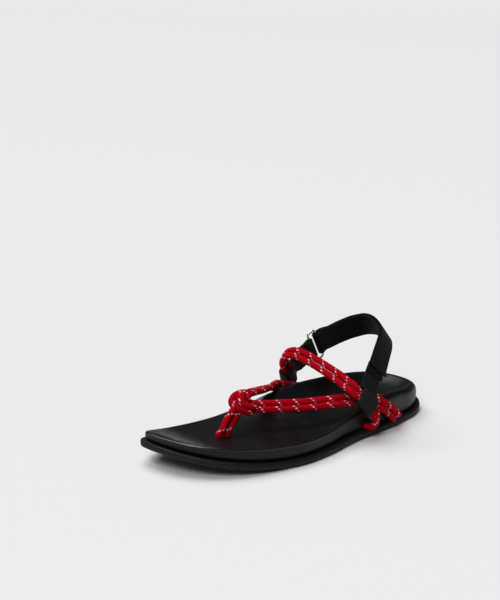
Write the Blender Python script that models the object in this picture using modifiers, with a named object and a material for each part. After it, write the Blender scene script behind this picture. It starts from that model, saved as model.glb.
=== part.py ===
# Rope sandal, left foot.
# Axes: +X lateral (outer side of the foot), toe towards -Y, +Z up, metres.
# Origin: on the floor, under the middle of the heel's flat spot.

import math

import bmesh
import bpy
from mathutils import Vector

# Driving sizes
FOOT_LENGTH = 0.270          # footbed, heel to toe
BALL_WIDTH = 0.093           # footbed at the ball
REST_SHARE = 0.22            # share of the length, from the heel, where the origin lies
OUTSOLE_HEEL = 0.0060        # outsole thickness from heel to waist
OUTSOLE_BALL = 0.0060        # outsole thickness from the waist step to the toe
OUTSOLE_FLANGE = 0.0036      # outsole rim past the footbed
TOE_SPRING = 0.0141          # lift of the outsole's bottom at the tip of the toe
HEEL_LIFT = 0.0029           # lift of the outsole's bottom at the back edge
WAIST_LIFT = 0.0008          # hollow of the outsole's bottom under the arch
RIM_RISE = 0.0310            # highest point of the footbed's rim, at the arch
CUP_FLOOR = 0.0170           # top of the insole in the heel cup
TIP_SHIFT = 0.0250           # how far the toe's tip leans to the medial side
WALL_TUCK = 0.0013           # undercut of the footbed's wall above the outsole
INSOLE_THICK = 0.0015
CREST_BALL = 0.0014          # how far the insole wraps over the rim, forefoot
CREST_HEEL = 0.0066          # and at the heel
GAP = 0.0003                 # clearance between pieces that touch
ROPE = 0.0056                # rope diameter
ROPE_SIDES = 2               # bevel resolution, 8 sides
PAIR_GAP = 0.0003            # between the two strands of a pair
ANCHOR_RISE = 0.0034         # rope centre above the outsole at the side anchors
ANCHOR_DEPTH = 0.0070        # blind hole past the footbed's wall
UPPER_RISE = 0.0820          # height that the upper's rise shares refer to, above the outsole
WEB_WIDTH = 0.0183           # ribbed webbing
WEB_THICK = 0.0015
STRAP_WIDTH = 0.0210         # heel strap
STRAP_THICK = 0.0018
STRAP_PLY = 0.0006           # space between the strap's two layers, the fastener's pile
FLAP_LIFT = 0.0016           # how far the end of the strap's flap stands off
FOLD_EASE = 0.0011           # space between the ropes and the webbing folded round them
RING_WIRE = 0.0022
RING_LONG = 0.0270           # inside the ring, along its bars
RING_SHORT = 0.0062          # between bar centres, across

HALF = BALL_WIDTH / 2
RADIUS = ROPE / 2
STATIONS = 32                # outline points on each side of the foot


# Tables of the last
# share of length from the heel, lateral and medial half width as shares of half the ball width
WIDTHS = [
    (0.00, 0.67, 0.72), (0.06, 0.655, 0.735), (0.13, 0.70, 0.75), (0.22, 0.79, 0.75),
    (0.32, 0.84, 0.74), (0.42, 0.90, 0.745), (0.52, 1.01, 0.825), (0.62, 1.065, 0.935),
    (0.70, 1.04, 0.94), (0.78, 1.015, 0.935), (0.86, 0.98, 0.96), (0.93, 0.935, 0.985),
    (1.00, 0.87, 1.00),
]
# share of length, lateral and medial rim height as shares of RIM_RISE
RIMS = [
    (0.00, 0.775, 0.775), (0.10, 0.84, 0.84), (0.20, 0.92, 0.94), (0.30, 0.93, 0.995),
    (0.40, 0.76, 0.98), (0.50, 0.60, 0.83), (0.60, 0.56, 0.59), (0.70, 0.59, 0.51),
    (0.80, 0.66, 0.535), (0.90, 0.75, 0.64), (1.00, 0.86, 0.85),
]
# share of length, height of the dished floor as a share of CUP_FLOOR
FLOORS = [
    (0.00, 1.10), (0.08, 1.02), (0.15, 1.00), (0.28, 1.00), (0.40, 0.96), (0.50, 0.86),
    (0.60, 0.79), (0.70, 0.765), (0.78, 0.80), (0.86, 0.975), (0.93, 1.22), (1.00, 1.50),
]
# fraction of the way from crest to middle, share of the dish's depth that is left there
DISH = [(0.0, 1.0), (0.12, 0.72), (0.28, 0.40), (0.48, 0.16), (0.72, 0.03), (1.0, 0.0)]


# Tables of the upper
# half width, length and rise shares of the pair's middle, then the way from strand to strand
LATERAL_PAIR = [
    (-0.258, 0.6741, 0.341, 0.7, -0.4, -0.6),
    (-0.183, 0.6481, 0.311, 0.7, -0.4, -0.6),
    (-0.097, 0.6178, 0.3, 0.65, -0.35, -0.68),
    (0.228, 0.5244, 0.299, 0.65, -0.35, -0.68),
    (0.473, 0.4481, 0.313, 0.65, -0.35, -0.68),
    (0.615, 0.3985, 0.324, 0.6, -0.35, -0.7),
    (0.71, 0.3481, 0.324, 0.4, -0.35, -0.85),
    (0.8, 0.3237, 0.335, 0.2, -0.35, -0.92),
    (0.901, 0.3015, 0.274, 0.1, -0.45, -0.88),
    (0.925, 0.2796, 0.222, 0, -0.6, -0.8),
    (0.929, 0.2556, 0.173, 0, -0.6, -0.8),
    (0.931, 0.2348, 0.112, 0, -0.75, -0.65),
    (0.903, 0.2156, 0.056, 0, -0.95, -0.3),
]

# the same for the pair from the knot to the medial rear anchor
MEDIAL_PAIR = [
    (-0.28, 0.6778, 0.378, 0.9, 0.4, 0.15),
    (-0.366, 0.6556, 0.409, 0.9, 0.4, 0.15),
    (-0.43, 0.6222, 0.4, 0.9, 0.4, 0.15),
    (-0.516, 0.5741, 0.376, 0.9, 0.4, 0.15),
    (-0.645, 0.5222, 0.346, 0.85, 0.4, 0.35),
    (-0.77, 0.4852, 0.322, 0.7, 0.3, 0.65),
    (-0.867, 0.45, 0.283, 0.35, 0.3, 0.87),
    (-0.847, 0.4111, 0.243, 0.1, 0.35, 0.93),
    (-0.83, 0.3741, 0.207, 0, 0.35, 0.93),
    (-0.83, 0.3296, 0.171, 0, 0.4, 0.9),
    (-0.832, 0.2889, 0.137, 0, 0.5, 0.86),
    (-0.837, 0.2556, 0.102, 0, 0.65, 0.75),
    (-0.843, 0.2315, 0.078, 0, 0.85, 0.5),
    (-0.832, 0.2141, 0.061, 0, 0.95, 0.3),
]

# the same for the pair over the instep, from the lateral to the medial front anchor
INSTEP_PAIR = [
    (0.957, 0.3296, 0.065, -0.55, 0.83, 0),
    (1.028, 0.3311, 0.122, -0.7, 0.7, 0),
    (1.041, 0.3385, 0.194, -0.5, 0.75, 0.4),
    (1.011, 0.35, 0.284, -0.35, 0.7, 0.61),
    (0.968, 0.3704, 0.354, -0.35, 0.7, 0.61),
    (0.923, 0.3907, 0.418, -0.35, 0.7, 0.61),
    (0.873, 0.4059, 0.472, -0.33, 0.71, 0.6),
    (0.8, 0.4074, 0.498, -0.18, 0.74, 0.63),
    (0.688, 0.4067, 0.507, 0.05, 0.75, 0.66),
    (0.473, 0.4026, 0.539, 0, 0.75, 0.66),
    (0, 0.4074, 0.61, 0, 0.75, 0.66),
    (-0.323, 0.413, 0.65, 0, 0.75, 0.66),
    (-0.559, 0.4185, 0.665, -0.05, 0.75, 0.66),
    (-0.731, 0.4241, 0.64, -0.3, 0.8, 0.5),
    (-0.839, 0.4241, 0.573, -0.5, 0.8, 0.3),
    (-0.895, 0.4141, 0.512, -0.35, 0.85, 0.4),
    (-0.938, 0.3963, 0.451, -0.15, 0.92, 0.36),
    (-0.976, 0.3833, 0.39, -0.1, 0.93, 0.36),
    (-1.015, 0.3741, 0.327, -0.1, 0.93, 0.36),
    (-1.049, 0.3652, 0.261, -0.1, 0.93, 0.36),
    (-1.075, 0.3541, 0.193, -0.1, 0.95, 0.3),
    (-1.037, 0.3363, 0.117, -0.1, 0.97, 0.25),
    (-0.925, 0.3296, 0.061, 0, 1, 0.1),
]

# middle of the heel strap from the ring to the lateral side, then the way across its width
HEEL_BAND = [
    (-0.877, 0.2148, 0.68, 0.05, -0.3, 0.95),
    (-0.817, 0.1796, 0.722, 0.1, -0.18, 0.98),
    (-0.667, 0.1463, 0.78, 0.18, -0.15, 0.97),
    (-0.462, 0.1315, 0.829, 0.12, -0.4, 0.9),
    (-0.215, 0.1389, 0.866, 0.05, -0.5, 0.85),
    (0.065, 0.1578, 0.88, -0.05, -0.56, 0.83),
    (0.331, 0.1807, 0.866, -0.12, -0.6, 0.79),
    (0.525, 0.2096, 0.832, -0.12, -0.52, 0.84),
    (0.649, 0.2396, 0.787, -0.12, -0.5, 0.85),
    (0.744, 0.2685, 0.723, -0.12, -0.55, 0.82),
    (0.824, 0.2952, 0.646, -0.1, -0.66, 0.74),
    (0.873, 0.3167, 0.566, -0.15, -0.7, 0.68),
]

# the same where only the lateral webbing runs, down to its fold
WEB_RISER = [
    (0.837, 0.3289, 0.49, -0.24, -0.7, 0.67),
]

# shares of points along the strands of the toe post and of its knot
POST_FRONT = [
    (-0.189, 0.7685, 0.171),
    (-0.222, 0.7463, 0.25),
    (-0.258, 0.7204, 0.311),
    (-0.28, 0.6981, 0.348),
    (-0.312, 0.6815, 0.378),
]

POST_REAR = [
    (-0.174, 0.7456, 0.152),
    (-0.206, 0.7241, 0.213),
    (-0.237, 0.7019, 0.268),
    (-0.258, 0.6815, 0.311),
    (-0.28, 0.6685, 0.348),
]

KNOT_LOW_TURN = [
    (-0.376, 0.6889, 0.39),
    (-0.344, 0.7067, 0.37),
    (-0.265, 0.7104, 0.341),
    (-0.185, 0.6978, 0.309),
    (-0.133, 0.677, 0.278),
    (-0.163, 0.6574, 0.271),
]

KNOT_HIGH_TURN = [
    (-0.366, 0.6722, 0.415),
    (-0.312, 0.6889, 0.411),
    (-0.226, 0.6937, 0.382),
    (-0.151, 0.68, 0.345),
    (-0.116, 0.66, 0.317),
    (-0.161, 0.6426, 0.302),
]

KNOT_OUTER_LOOP = [
    (-0.409, 0.65, 0.421),
    (-0.415, 0.6722, 0.429),
    (-0.4, 0.6956, 0.417),
    (-0.37, 0.7104, 0.378),
    (-0.318, 0.7104, 0.339),
    (-0.269, 0.6963, 0.311),
]

KNOT_INNER_LOOP = [
    (-0.338, 0.6463, 0.421),
    (-0.329, 0.6685, 0.437),
    (-0.284, 0.6852, 0.427),
    (-0.228, 0.6889, 0.393),
    (-0.206, 0.6778, 0.348),
]


# Reading the tables

def read(table, at, column=1):
    """Smooth value of a table's column at a share of length."""
    rows = table
    if at <= rows[0][0]:
        return rows[0][column]
    if at >= rows[-1][0]:
        return rows[-1][column]
    i = max(j for j in range(len(rows) - 1) if rows[j][0] <= at)
    x0, x1 = rows[i][0], rows[i + 1][0]
    y0, y1 = rows[i][column], rows[i + 1][column]

    def slope(j):
        if j == 0 or j == len(rows) - 1:
            k = 0 if j == 0 else len(rows) - 2
            return (rows[k + 1][column] - rows[k][column]) / (rows[k + 1][0] - rows[k][0])
        return (rows[j + 1][column] - rows[j - 1][column]) / (rows[j + 1][0] - rows[j - 1][0])

    span = x1 - x0
    t = (at - x0) / span
    a, b = slope(i) * span, slope(i + 1) * span
    return ((2 * t ** 3 - 3 * t ** 2 + 1) * y0 + (t ** 3 - 2 * t ** 2 + t) * a
            + (3 * t ** 2 - 2 * t ** 3) * y1 + (t ** 3 - t ** 2) * b)


def ease(at, start, end):
    """0 before start, 1 after end, smooth between."""
    t = min(max((at - start) / (end - start), 0.0), 1.0)
    return t * t * (3 - 2 * t)


# The last: outline and heights

ROUND = 2.2                                  # exponent of the round ends
HEEL_END = 0.13                              # share of length that the heel's round end takes
TOE_END = {1: 0.41, -1: 0.27}                # lateral and medial shares of the toe's round end


def along(share):
    """Y of a share of the length, counted from the heel."""
    return (REST_SHARE - share) * FOOT_LENGTH


def side_x(share, side):
    """X of the footbed's edge; side is 1 for lateral and -1 for medial."""
    half = HALF * read(WIDTHS, share, 1 if side > 0 else 2)
    end = 1.0
    if share < HEEL_END:
        end = (1 - (1 - share / HEEL_END) ** ROUND) ** (1 / ROUND)
    start = 1 - TOE_END[side]
    if share > start:
        end = (1 - ((share - start) / TOE_END[side]) ** ROUND) ** (1 / ROUND)
    shift = TIP_SHIFT * min(max((share - 0.6) / 0.4, 0.0), 1.0) ** 2
    return -shift + side * (half + side * shift) * end


def ground(share):
    """Height of the outsole's bottom."""
    toe = TOE_SPRING * min(max((share - 0.66) / 0.34, 0.0), 1.0) ** 1.7
    heel = HEEL_LIFT * min(max((0.12 - share) / 0.12, 0.0), 1.0) ** 2
    waist = WAIST_LIFT * ease(share, 0.32, 0.38) * (1 - ease(share, 0.46, 0.52))
    return toe + heel + waist


def deck(share):
    """Height of the outsole's top."""
    step = ease(share, 0.34, 0.43)
    return ground(share) + OUTSOLE_HEEL + (OUTSOLE_BALL - OUTSOLE_HEEL) * step


def rim(share, side):
    return RIM_RISE * read(RIMS, share, 1 if side > 0 else 2)


def floor(share):
    return CUP_FLOOR * read(FLOORS, share)


def crest(share):
    """How far the insole wraps over the rim."""
    return CREST_HEEL + (CREST_BALL - CREST_HEEL) * ease(share, 0.25, 0.50)


def stations():
    """Shares and sides round the outline: heel, lateral, toe, medial."""
    shares = [0.5 - 0.5 * math.cos(math.pi * k / STATIONS) for k in range(STATIONS + 1)]
    loop = [(share, 1) for share in shares]
    return loop + [(share, -1) for share in reversed(shares[1:-1])]


LOOP = stations()
EDGE = [Vector((side_x(share, side), along(share))) for share, side in LOOP]


def normals():
    """Outward normals of the outline, in plan."""
    result = []
    for k in range(len(EDGE)):
        step = EDGE[(k + 1) % len(EDGE)] - EDGE[k - 1]
        result.append(Vector((-step.y, step.x)).normalized())
    return result


OUTWARD = normals()
SPINE_START, SPINE_END = 0.14, 0.84          # shares of length where the middle line ends


def spine(k):
    """Point on the middle line that outline point k draws in to."""
    share = min(max(LOOP[k][0], SPINE_START), SPINE_END)
    middle = (side_x(share, 1) + side_x(share, -1)) / 2
    return Vector((middle, along(share)))


def ring(inset, fraction, height):
    """One loop of points: inset from the outline, then a fraction of the way to the middle."""
    points = []
    for k, (share, side) in enumerate(LOOP):
        edge = EDGE[k] - OUTWARD[k] * inset(share)
        point = edge.lerp(spine(k), fraction)
        share_there = REST_SHARE - point.y / FOOT_LENGTH
        points.append(Vector((point.x, point.y, height(share, side, share_there))))
    return points


# Making meshes

SCENE = bpy.context.scene
for old in list(bpy.data.objects):
    bpy.data.objects.remove(old, do_unlink=True)
SANDAL = bpy.data.collections.new("rope_sandal")
CUTTERS = bpy.data.collections.new("cutters")
SCENE.collection.children.link(SANDAL)
SCENE.collection.children.link(CUTTERS)


def material(name, colour, roughness, metallic=0.0):
    finish = bpy.data.materials.new(name)
    finish.use_nodes = True
    shader = finish.node_tree.nodes["Principled BSDF"]
    shader.inputs["Base Color"].default_value = (*colour, 1)
    shader.inputs["Roughness"].default_value = roughness
    shader.inputs["Metallic"].default_value = metallic
    finish.diffuse_color = (*colour, 1)
    return finish


RUBBER = material("black_rubber", (0.012, 0.012, 0.013), 0.62)
FOAM = material("moulded_footbed", (0.016, 0.016, 0.017), 0.50)
COVER = material("insole_cover", (0.020, 0.019, 0.019), 0.42)
RED = material("red_braid", (0.52, 0.004, 0.018), 0.70)
WEBBING = material("black_webbing", (0.008, 0.008, 0.009), 0.85)
METAL = material("pale_gold_metal", (0.72, 0.64, 0.52), 0.25, 1.0)


def add(name, mesh, finish, collection=SANDAL):
    thing = bpy.data.objects.new(name, mesh)
    thing.data.materials.append(finish)
    collection.objects.link(thing)
    return thing


def loft(name, rings, finish):
    """Closed solid through loops of points; first and last loops fold up onto a middle line."""
    shape = bmesh.new()
    rows = [[shape.verts.new(point) for point in points] for points in rings]
    count = len(rings[0])
    for lower, upper in zip(rows, rows[1:]):
        for k in range(count):
            j = (k + 1) % count
            shape.faces.new((lower[k], lower[j], upper[j], upper[k]))
    bmesh.ops.remove_doubles(shape, verts=shape.verts, dist=0.00001)
    bmesh.ops.dissolve_degenerate(shape, dist=0.00001, edges=shape.edges)
    bmesh.ops.triangulate(shape, faces=shape.faces)
    bmesh.ops.recalc_face_normals(shape, faces=shape.faces)
    mesh = bpy.data.meshes.new(name)
    shape.to_mesh(mesh)
    shape.free()
    mesh.shade_smooth()
    mesh.set_sharp_from_angle(angle=math.radians(40))
    return add(name, mesh, finish)


def apply_all(thing):
    """Bakes an object's modifiers, or turns a curve into a mesh."""
    graph = bpy.context.evaluated_depsgraph_get()
    mesh = bpy.data.meshes.new_from_object(thing.evaluated_get(graph))
    shape = bmesh.new()
    shape.from_mesh(mesh)
    bmesh.ops.remove_doubles(shape, verts=shape.verts, dist=0.00001)
    bmesh.ops.recalc_face_normals(shape, faces=shape.faces)
    shape.to_mesh(mesh)
    shape.free()
    name, finish = thing.name, thing.data.materials[0]
    collection, place = thing.users_collection[0], thing.matrix_world.copy()
    bpy.data.objects.remove(thing, do_unlink=True)
    solid = add(name, mesh, finish, collection)
    solid.matrix_world = place
    return solid


def boolean(thing, other, operation, solver="EXACT"):
    change = thing.modifiers.new(operation.lower(), "BOOLEAN")
    change.operation = operation
    change.solver = solver
    change.object = other
    bpy.context.view_layer.update()
    result = apply_all(thing)
    bpy.data.objects.remove(other, do_unlink=True)
    return result


def smooth(points, step):
    """Points about a step apart on a smooth curve through the given ones."""
    ends = [points[0] * 2 - points[1]] + list(points) + [points[-1] * 2 - points[-2]]
    result = []
    for i in range(1, len(ends) - 2):
        p0, p1, p2, p3 = ends[i - 1:i + 3]
        pieces = max(1, round((p2 - p1).length / step))
        for n in range(pieces):
            t = n / pieces
            result.append(0.5 * (2 * p1 + (p2 - p0) * t + (2 * p0 - 5 * p1 + 4 * p2 - p3) * t ** 2
                                 + (3 * p1 - p0 - 3 * p2 + p3) * t ** 3))
    return result + [points[-1]]


def tube(name, points, diameter, finish, collection=SANDAL, closed=False, resolution=ROPE_SIDES):
    """A round rope or wire along points."""
    curve = bpy.data.curves.new(name, "CURVE")
    curve.dimensions = "3D"
    curve.bevel_depth = diameter / 2
    curve.bevel_resolution = resolution
    curve.use_fill_caps = not closed
    line = curve.splines.new("POLY")
    line.points.add(len(points) - 1)
    for slot, point in zip(line.points, points):
        slot.co = (*point, 1)
    line.use_cyclic_u = closed
    thing = add(name, curve, finish, collection)
    bpy.context.view_layer.update()
    solid = apply_all(thing)
    solid.data.shade_smooth()
    return solid


def place(x_share, length_share, rise_share):
    """A point of the upper from shares of the ball's half, the length and UPPER_RISE."""
    return Vector((x_share * HALF, along(length_share), OUTSOLE_HEEL + rise_share * UPPER_RISE))


# Sole

def flat(value):
    return lambda share: value


def sole_height(level):
    """Height of an outsole loop: level 0 is the bottom and 1 the top."""
    return lambda share, side, there: ground(there) + level * (deck(there) - ground(there))


# the outsole's edge, from the bottom up: inset as a share of the flange, level up its side
SOLE_EDGE = [(0.11, 0.12), (0.0, 0.32), (0.0, 0.72), (0.14, 0.94), (0.39, 1.0)]


def sole_loop(inset_share, fraction, level):
    """A loop of the outsole, inset from its rim by a share of the flange."""
    return ring(flat((inset_share - 1) * OUTSOLE_FLANGE), fraction, sole_height(level))


def make_outsole():
    rows = [sole_loop(0.44, fraction, 0) for fraction in (1.0, 0.66, 0.33, 0.10, 0.0)]
    rows += [sole_loop(inset_share, 0.0, level) for inset_share, level in SOLE_EDGE]
    rows += [sole_loop(1.28, fraction, 1) for fraction in (0.0, 0.33, 1.0)]
    return loft("outsole", rows, RUBBER)


def dish_height(fraction, drop):
    """Height of the insole's top, or of a surface below it by drop."""
    left = read(DISH, fraction)

    def height(share, side, there):
        base = floor(there)
        return base + (rim(share, side) - base) * left - drop
    return height


def under_rim(share_of_crest, extra=0.0):
    return lambda share, side, there: rim(share, side) - share_of_crest * crest(share) - extra


def insole_under(gap):
    """Loops of the insole's underside, middle to edge, lowered by a gap."""
    under = INSOLE_THICK
    rows = [ring(crest, fraction, dish_height(fraction, under + gap))
            for fraction in (1.0, 0.72, 0.45, 0.26, 0.14)]
    return rows + [
        ring(lambda s: crest(s) + 0.25 * under, 0.06, dish_height(0.06, 1.05 * under + gap)),
        ring(lambda s: 0.75 * crest(s) + 0.45 * under, 0.0, under_rim(0.0, under + gap)),
        ring(lambda s: 0.30 * crest(s) + 0.70 * under, 0.0,
             lambda s, d, t: rim(s, d) - max(0.55 * crest(s), 0.95 * under) - gap),
        ring(flat(0.85 * under), 0.0, under_rim(1.0, GAP / 3 + gap)),
        ring(flat(0.0), 0.0, under_rim(1.0, gap))]


def make_insole():
    rows = insole_under(0.0)
    rows += [ring(lambda s: 0.08 * crest(s), 0.0, under_rim(0.60)),
             ring(lambda s: 0.32 * crest(s), 0.0, under_rim(0.20)),
             ring(lambda s: 0.75 * crest(s), 0.0, under_rim(0.0))]
    rows += [ring(crest, fraction, dish_height(fraction, 0.0))
             for fraction in (0.06, 0.14, 0.26, 0.45, 0.72, 1.0)]
    return rows


def wall(level):
    """Height of a loop on the footbed's wall: level 0 at the outsole and 1 under the insole."""
    return lambda s, d, t: deck(t) + GAP + level * (rim(s, d) - crest(s) - deck(t) - 2 * GAP)


def make_footbed():
    rows = [ring(flat(1.8 * WALL_TUCK), fraction, wall(0.0)) for fraction in (1.0, 0.33, 0.0)]
    rows += [ring(flat(inset * WALL_TUCK), 0.0, wall(level))
             for inset, level in ((1.0, 0.06), (0.45, 0.22), (0.05, 0.52))]
    return rows + list(reversed(insole_under(GAP)))


# Ropes

def length_share(point):
    return REST_SHARE - point.y / FOOT_LENGTH


def vector(row, start=0):
    return Vector(row[start:start + 3])


def anchor(length, side):
    """Where a rope meets the footbed's wall, and where it ends in its hole."""
    height = deck(length) + ANCHOR_RISE
    mouth = Vector((side_x(length, side), along(length), height))
    return mouth, mouth - Vector((side * ANCHOR_DEPTH, 0, 0))


REAR_ANCHOR = 0.2060         # share of length of the toe pairs' side anchors
FRONT_ANCHOR = 0.3300        # and of the instep pair's


def anchored(rows, start=None, end=None):
    """A pair's middle points and spreads; an anchored end runs straight into the wall."""
    points = [place(*row[:3]) for row in rows]
    spreads = [vector(row, 3) for row in rows]
    level = Vector((0, 1, 0))
    for at_start, anchor_end in ((True, start), (False, end)):
        if anchor_end is None:
            continue
        mouth, stop = anchor(*anchor_end)
        way = level if spreads[0 if at_start else -1].y > 0 else -level
        if at_start:
            points[:0] = [stop, mouth]
            spreads[:0] = [way, way]
        else:
            points += [mouth, stop]
            spreads += [way, way]
    return points, spreads


def strands(points, spreads):
    """Control points of the two strands that lie side by side along a pair's middle."""
    reach = (ROPE + PAIR_GAP) / 2
    sides = ([], [])
    for i, point in enumerate(points):
        before, after = points[max(i - 1, 0)], points[min(i + 1, len(points) - 1)]
        run = (after - before).normalized()
        way = (spreads[i] - run * spreads[i].dot(run)).normalized()
        sides[0].append(point + way * reach)
        sides[1].append(point - way * reach)
    return sides


ROPE_STEP = 0.0075           # spacing of the rope's cross-sections


def rope(name, controls, collection=SANDAL):
    return tube(name, smooth(controls, ROPE_STEP), ROPE, RED, collection)


lateral_strands = strands(*anchored(LATERAL_PAIR, end=(REAR_ANCHOR, 1)))
medial_strands = strands(*anchored(MEDIAL_PAIR, end=(REAR_ANCHOR, -1)))
instep_strands = strands(*anchored(INSTEP_PAIR, (FRONT_ANCHOR, 1), (FRONT_ANCHOR, -1)))

# where the toe post's strands come out of the insole, as place() takes them: front, rear
POST_FOOT = [(-0.200, 0.7815), (-0.172, 0.7540)]


def post(rows, x_share, length):
    """A strand of the toe post, from the bottom of its hole up."""
    foot = place(x_share, length, 0)
    bottom = Vector((foot.x, foot.y, deck(length) + 3 * GAP))
    mouth = Vector((foot.x, foot.y, floor(length) + INSOLE_THICK))
    return [bottom, mouth] + [place(*row) for row in rows]


post_strands = [post(rows, *foot) for rows, foot in zip((POST_FRONT, POST_REAR), POST_FOOT)]
knot_strands = [[place(*row) for row in rows]
                for rows in (KNOT_LOW_TURN, KNOT_HIGH_TURN, KNOT_OUTER_LOOP, KNOT_INNER_LOOP)]


def make_toe_rope():
    """Post, knot and both pairs, joined where they cross."""
    routes = post_strands + knot_strands + list(lateral_strands) + list(medial_strands)
    whole = rope("toe_rope", routes[0])
    for route in routes[1:]:
        whole = boolean(whole, rope("strand", route, CUTTERS), "UNION", "MANIFOLD")
    whole.data.shade_smooth()
    return whole


def bore(things, mouth, stop):
    """A round hole for one strand, from outside the mouth to just past the rope's end."""
    run = (stop - mouth).normalized()
    ends = [mouth - run * ROPE, stop + run * GAP]
    for thing in things:
        cutter = tube("bore", ends, ROPE + 2 * GAP, FOAM, CUTTERS)
        thing = boolean(thing, cutter, "DIFFERENCE")


# Bands

def band(name, centres, acrosses, width, thickness, finish, closed=False):
    """A woven band: a strip through the centres, with Solidify for its thickness."""
    shape = bmesh.new()
    rows = []
    for centre, across in zip(centres, acrosses):
        rows.append([shape.verts.new(centre + across * width * share) for share in (-0.5, 0.0, 0.5)])
    pairs = list(zip(rows, rows[1:])) + ([(rows[-1], rows[0])] if closed else [])
    for first, second in pairs:
        for k in range(len(first) - 1):
            shape.faces.new((first[k], first[k + 1], second[k + 1], second[k]))
    mesh = bpy.data.meshes.new(name)
    shape.to_mesh(mesh)
    shape.free()
    thing = add(name, mesh, finish)
    solid = thing.modifiers.new("thickness", "SOLIDIFY")
    solid.thickness = thickness
    solid.offset = 0
    bpy.context.view_layer.update()
    return apply_all(thing)


def square(ways, points):
    """Widths made square to the path."""
    result = []
    for i, way in enumerate(ways):
        run = (points[min(i + 1, len(points) - 1)] - points[max(i - 1, 0)]).normalized()
        result.append((way - run * way.dot(run)).normalized())
    return result


def fine(points, ways, step):
    """A band's path and widths, sampled smoothly."""
    both = [Vector((*point, *way)) for point, way in zip(points, ways)]
    result = []
    ends = [both[0] * 2 - both[1]] + both + [both[-1] * 2 - both[-2]]
    for i in range(1, len(ends) - 2):
        p0, p1, p2, p3 = ends[i - 1:i + 3]
        pieces = max(1, round((Vector(p2[:3]) - Vector(p1[:3])).length / step))
        for n in range(pieces):
            t = n / pieces
            result.append(0.5 * (2 * p1 + (p2 - p0) * t + (2 * p0 - 5 * p1 + 4 * p2 - p3) * t ** 2
                                 + (3 * p1 - p0 - 3 * p2 + p3) * t ** 3))
    result.append(both[-1])
    path = [Vector(value[:3]) for value in result]
    return path, square([Vector(value[3:]) for value in result], path)


BAND_STEP = 0.0048           # spacing of a band's cross-sections
FOLD_TURN = 30               # degrees between cross-sections where the webbing turns
LAP = 2                      # cross-sections of the strap that the webbing is sewn under

# The ring: its rear bar carries the heel strap and its front bar the medial webbing
RING_REAR = place(-0.892, 0.2604, 0.641)
RING_AHEAD = Vector((-0.10, -0.88, -0.46)).normalized()
RING_ALONG = Vector((0.0, -0.48, 0.88))
RING_ALONG = (RING_ALONG - RING_AHEAD * RING_ALONG.dot(RING_AHEAD)).normalized()
RING_OUT = RING_ALONG.cross(RING_AHEAD).normalized()
if RING_OUT.x > 0:
    RING_OUT = -RING_OUT
RING_FRONT = RING_REAR + RING_AHEAD * (RING_SHORT + RING_WIRE)


def make_ring():
    """A rectangular loop of wire with round corners."""
    corner = 1.35 * RING_WIRE
    half_long, half_short = RING_LONG / 2 + RING_WIRE / 2, (RING_SHORT + RING_WIRE) / 2
    middle = (RING_REAR + RING_FRONT) / 2
    points = []
    for a, b in ((1, 1), (-1, 1), (-1, -1), (1, -1)):
        turn = {(1, 1): 0, (-1, 1): 90, (-1, -1): 180, (1, -1): 270}[(a, b)]
        for n in range(4):
            angle = math.radians(turn + 30 * n)
            u = a * (half_short - corner) + corner * math.cos(angle)
            v = b * (half_long - corner) + corner * math.sin(angle)
            points.append(middle + RING_AHEAD * u + RING_ALONG * v)
    return tube("strap_ring", points, RING_WIRE, METAL, closed=True)


def make_heel_strap():
    """One band: flap on the lateral side, round the heel, through the ring and back inside."""
    points = [place(*row[:3]) for row in HEEL_BAND]
    ways = [vector(row, 3) for row in HEEL_BAND]
    points.insert(0, RING_REAR - RING_AHEAD * 2.5 * RING_WIRE)
    ways.insert(0, RING_ALONG)
    path, across = fine(points, ways, BAND_STEP)
    across[0] = RING_ALONG
    reach = (STRAP_THICK + STRAP_PLY) / 2
    outer, inner = [], []
    for i, point in enumerate(path):
        run = (path[min(i + 1, len(path) - 1)] - path[max(i - 1, 0)]).normalized()
        out = across[i].cross(run).normalized()
        outer.append(point + out * reach)
        inner.append(point - out * reach)
    outer.pop()
    outer[-1] += out * FLAP_LIFT
    wrap = (RING_WIRE + STRAP_THICK) / 2 + 2 * GAP
    turn = [RING_REAR + RING_OUT * wrap,
            RING_REAR + (RING_OUT + RING_AHEAD) * wrap * 0.71,
            RING_REAR + RING_AHEAD * wrap,
            RING_REAR + (RING_AHEAD - RING_OUT) * wrap * 0.71,
            RING_REAR - RING_OUT * wrap]
    centres = list(reversed(outer)) + turn + inner
    ways = list(reversed(across[:-1])) + [RING_ALONG] * len(turn) + across
    return band("heel_strap", centres, ways, STRAP_WIDTH, STRAP_THICK, WEBBING), path, across


def fold(middle, up, out, step):
    """Webbing round the instep pair, from the outer leaf to the inner leaf that is sewn to it."""
    clear = RADIUS + FOLD_EASE + WEB_THICK / 2
    reach = (ROPE + PAIR_GAP) / 2
    lean = 0.55 * clear
    rows = [(reach + 1.2 * ROPE, lean), (reach + 0.54 * ROPE, 0.86 * clear),
            (reach * 0.6, clear), (-reach * 0.3, clear)]
    rows += [(-reach - clear * math.sin(math.radians(angle)), clear * math.cos(math.radians(angle)))
             for angle in range(0, 181, step)]
    rows += [(-reach * 0.3, -clear)]
    rows += [(reach + clear * math.sin(math.radians(angle)), -clear * math.cos(math.radians(angle)))
             for angle in (0, 26, 52)]
    rows += [(reach + 1.2 * ROPE, lean - WEB_THICK - GAP)]
    return [middle + up * u + out * n for u, n in rows]


def fold_frame(centre_row, first_row, last_row, outward_x):
    """Middle, axis, upward and outward directions of a fold, from the instep pair's table."""
    middle = place(*centre_row[:3])
    axis = (place(*first_row[:3]) - place(*last_row[:3])).normalized()
    up = vector(centre_row, 3)
    up = (up - axis * up.dot(axis)).normalized()
    out = up.cross(axis).normalized()
    if out.x * outward_x < 0:
        out = -out
    return middle, axis, up, out


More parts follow.
